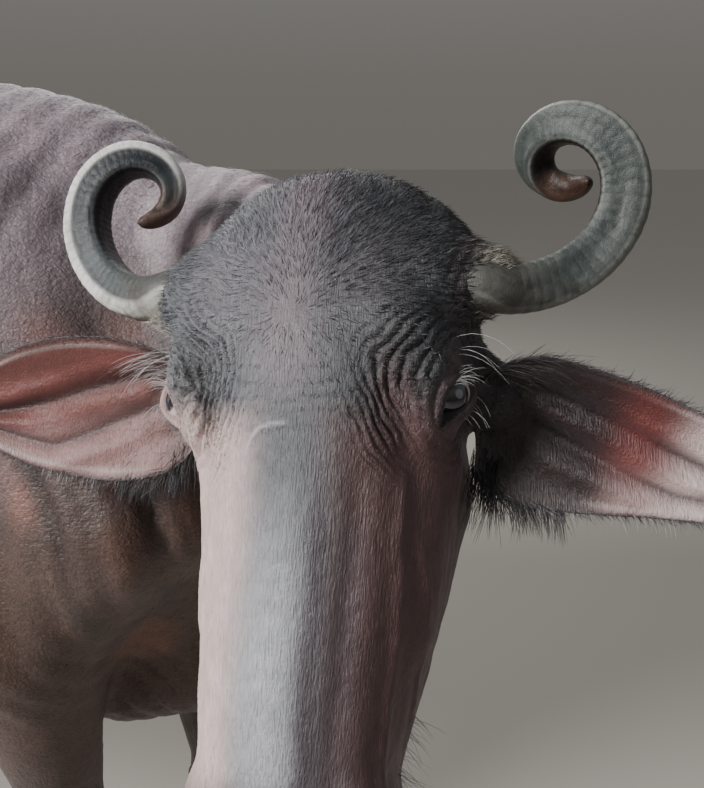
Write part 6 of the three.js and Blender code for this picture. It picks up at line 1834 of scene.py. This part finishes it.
for side in (1, -1):
    tag = "left" if side > 0 else "right"
    ear_strands("ear_fringe_" + tag, side, 0.02, 0.27, 0.84, 1.0, 1, 300, 0.029, lambda u, v, r: np.stack([0.20 + 0 * u, 0.05 + 0.12 * r.normal(0, 1, len(u)), 1.0 + 0 * u], 1) + r.normal(0, 0.16, (len(u), 3)), 51 + side, (0.050, 0.046, 0.052))
    ear_strands("ear_fringe_pale_" + tag, side, 0.02, 0.60, 0.88, 1.0, 1, 70, 0.016, lambda u, v, r: np.stack([0.35 + 0 * u, 0.10 + 0 * u, 1.0 + 0 * u], 1) + r.normal(0, 0.18, (len(u), 3)), 63 + side, (0.34, 0.32, 0.32))
    ear_strands("ear_tips_" + tag, side, 0.25, 0.97, 0.90, 1.0, 1, 200, 0.009, lambda u, v, r: np.stack([0.8 + 0 * u, 0.10 + 0 * u, 0.7 + 0 * u], 1) + r.normal(0, 0.2, (len(u), 3)), 53 + side, (0.10, 0.09, 0.10), 0.00024)
    ear_strands("ear_top_" + tag, side, 0.06, 0.95, -1.0, -0.92, 1, 240, 0.0085, lambda u, v, r: np.stack([1.0 + 0 * u, 0.10 + 0 * u, -0.35 + 0 * u], 1) + r.normal(0, 0.15, (len(u), 3)), 55 + side, (0.14, 0.13, 0.14), 0.00022, 0.5)
    ear_strands("ear_lock_" + tag, side, 0.00, 0.13, -1.0, -0.60, 1, 55, 0.042, lambda u, v, r: np.stack([1.0 + 0 * u, 0.30 + 0 * u, 0.05 + 0 * u], 1) + r.normal(0, 0.18, (len(u), 3)), 57 + side, (0.36, 0.34, 0.34) if side < 0 else (0.060, 0.055, 0.058), 0.00026, 0.8)
    ear_strands("ear_root_" + tag, side, 0.0, 0.09, 0.45, 1.0, 1, 190 if side > 0 else 90, 0.044, lambda u, v, r: np.stack([-0.15 + 0 * u, 0.15 + 0 * u, 1.0 + 0 * u], 1) + r.normal(0, 0.20, (len(u), 3)), 65 + side, (0.030, 0.026, 0.029), 0.00034, 0.8)
    ear_strands("ear_inside_" + tag, side, 0.02, 0.30, -0.5, 0.75, 1, 130, 0.019, lambda u, v, r: np.stack([0.9 + 0 * u, 0.30 + 0 * u, 0.30 + 0 * u], 1) + r.normal(0, 0.22, (len(u), 3)), 59 + side, (0.22, 0.17, 0.165) if side < 0 else (0.06, 0.045, 0.045), 0.00024, 0.8)

# tail switch: long tapering locks round the end of the tail
rng = np.random.default_rng(61)
count = 620
zz = rng.uniform(0.515, 0.62, count)
a = rng.uniform(0, 2 * np.pi, count)
rad = np.interp(zz, [0.50, 0.64], [0.010, 0.015])
cx = np.interp(zz, TAIL[::-1, 2], TAIL[::-1, 0])
cy = np.interp(zz, TAIL[::-1, 2], TAIL[::-1, 1])
p = np.stack([cx + rad * np.cos(a), cy + rad * np.sin(a), zz], 1)
n = np.stack([np.cos(a), np.sin(a), 0 * a], 1)
roots = dict(p=p, n=n, hm=np.zeros(count), ear=np.zeros(count), ep=np.zeros((count, 3)), tint=np.ones((count, 3)), rng=rng, count=count)
dirs = n * rng.uniform(0.05, 0.62, count)[:, None] + np.array([0.02, 0, -1.0])
tone = np.array([0.035, 0.026, 0.023]) * (0.5 + 1.4 * rng.random(count))[:, None]
tone[rng.random(count) > 0.93] = np.array([0.20, 0.17, 0.15])
strand("tail_switch_locks", roots, dirs, np.minimum(0.30, (zz - 0.300) * 1.15) * 0.92, 0.00120, 2.6, tone, 10, 4)
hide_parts("tail_switch")

stamp("coat done")
cam = bpy.data.cameras.new("camera")
cam.sensor_width = 36.0
cam.lens = 33.49
camera = bpy.data.objects.new("camera", cam)
bpy.context.scene.collection.objects.link(camera)
t = math.radians(20)
camera.matrix_world = Matrix(((1, 0, 0, 0.682), (0, math.sin(t), -math.cos(t), -0.796), (0, math.cos(t), math.sin(t), 1.340), (0, 0, 0, 1)))
bpy.context.scene.camera = camera

def lamp(name, at, to, size, power, colour):
    l = bpy.data.lights.new(name, "AREA")
    l.shape = "DISK"
    l.size = size
    l.energy = power
    l.color = colour
    o = bpy.data.objects.new(name, l)
    bpy.context.scene.collection.objects.link(o)
    o.location = at
    d = Vector(to) - Vector(at)
    o.rotation_euler = d.to_track_quat("-Z", "Y").to_euler()
lamp("key", (-2.1, -1.7, 2.9), (0.4, -0.4, 1.1), 1.2, 215, (1.0, 0.985, 0.97))
lamp("fill", (3.2, -2.0, 2.2), (0.4, -0.4, 1.0), 2.5, 7, (0.95, 0.97, 1.0))
lamp("back", (-0.5, 3.0, 3.0), (0.2, 0, 1.1), 2.5, 70, (1.0, 0.98, 0.95))
world = bpy.data.worlds.new("world")
bpy.context.scene.world = world
world.use_nodes = True
wt = world.node_tree
sky = node(wt, "ShaderNodeTexCoord").outputs["Generated"]
split = wt.nodes.new("ShaderNodeSeparateXYZ")
wt.links.new(sky, split.inputs[0])
rise = wt.nodes.new("ShaderNodeMapRange")
rise.interpolation_type = "SMOOTHSTEP"
rise.inputs["From Min"].default_value = -0.02
rise.inputs["From Max"].default_value = 0.55
wt.links.new(split.outputs["Z"], rise.inputs["Value"])
blend_ = wt.nodes.new("ShaderNodeMix")
blend_.data_type = "RGBA"
blend_.inputs[6].default_value = (0.224, 0.211, 0.191, 1)
blend_.inputs[7].default_value = (0.420, 0.425, 0.430, 1)
wt.links.new(rise.outputs["Result"], blend_.inputs[0])
wt.links.new(blend_.outputs[2], wt.nodes["Background"].inputs[0])
wt.nodes["Background"].inputs[1].default_value = 0.68

floor = new_mesh("floor", [(-25, -25, 0), (25, -25, 0), (25, 25, 0), (-25, 25, 0)], [(0, 1, 2, 3)])
fo = add_object("floor", floor)
fm = bpy.data.materials.new("floor")
fm.use_nodes = True
fm.node_tree.nodes["Principled BSDF"].inputs["Base Color"].default_value = (0.42, 0.39, 0.35, 1)
fm.node_tree.nodes["Principled BSDF"].inputs["Roughness"].default_value = 0.8
floor.materials.append(fm)
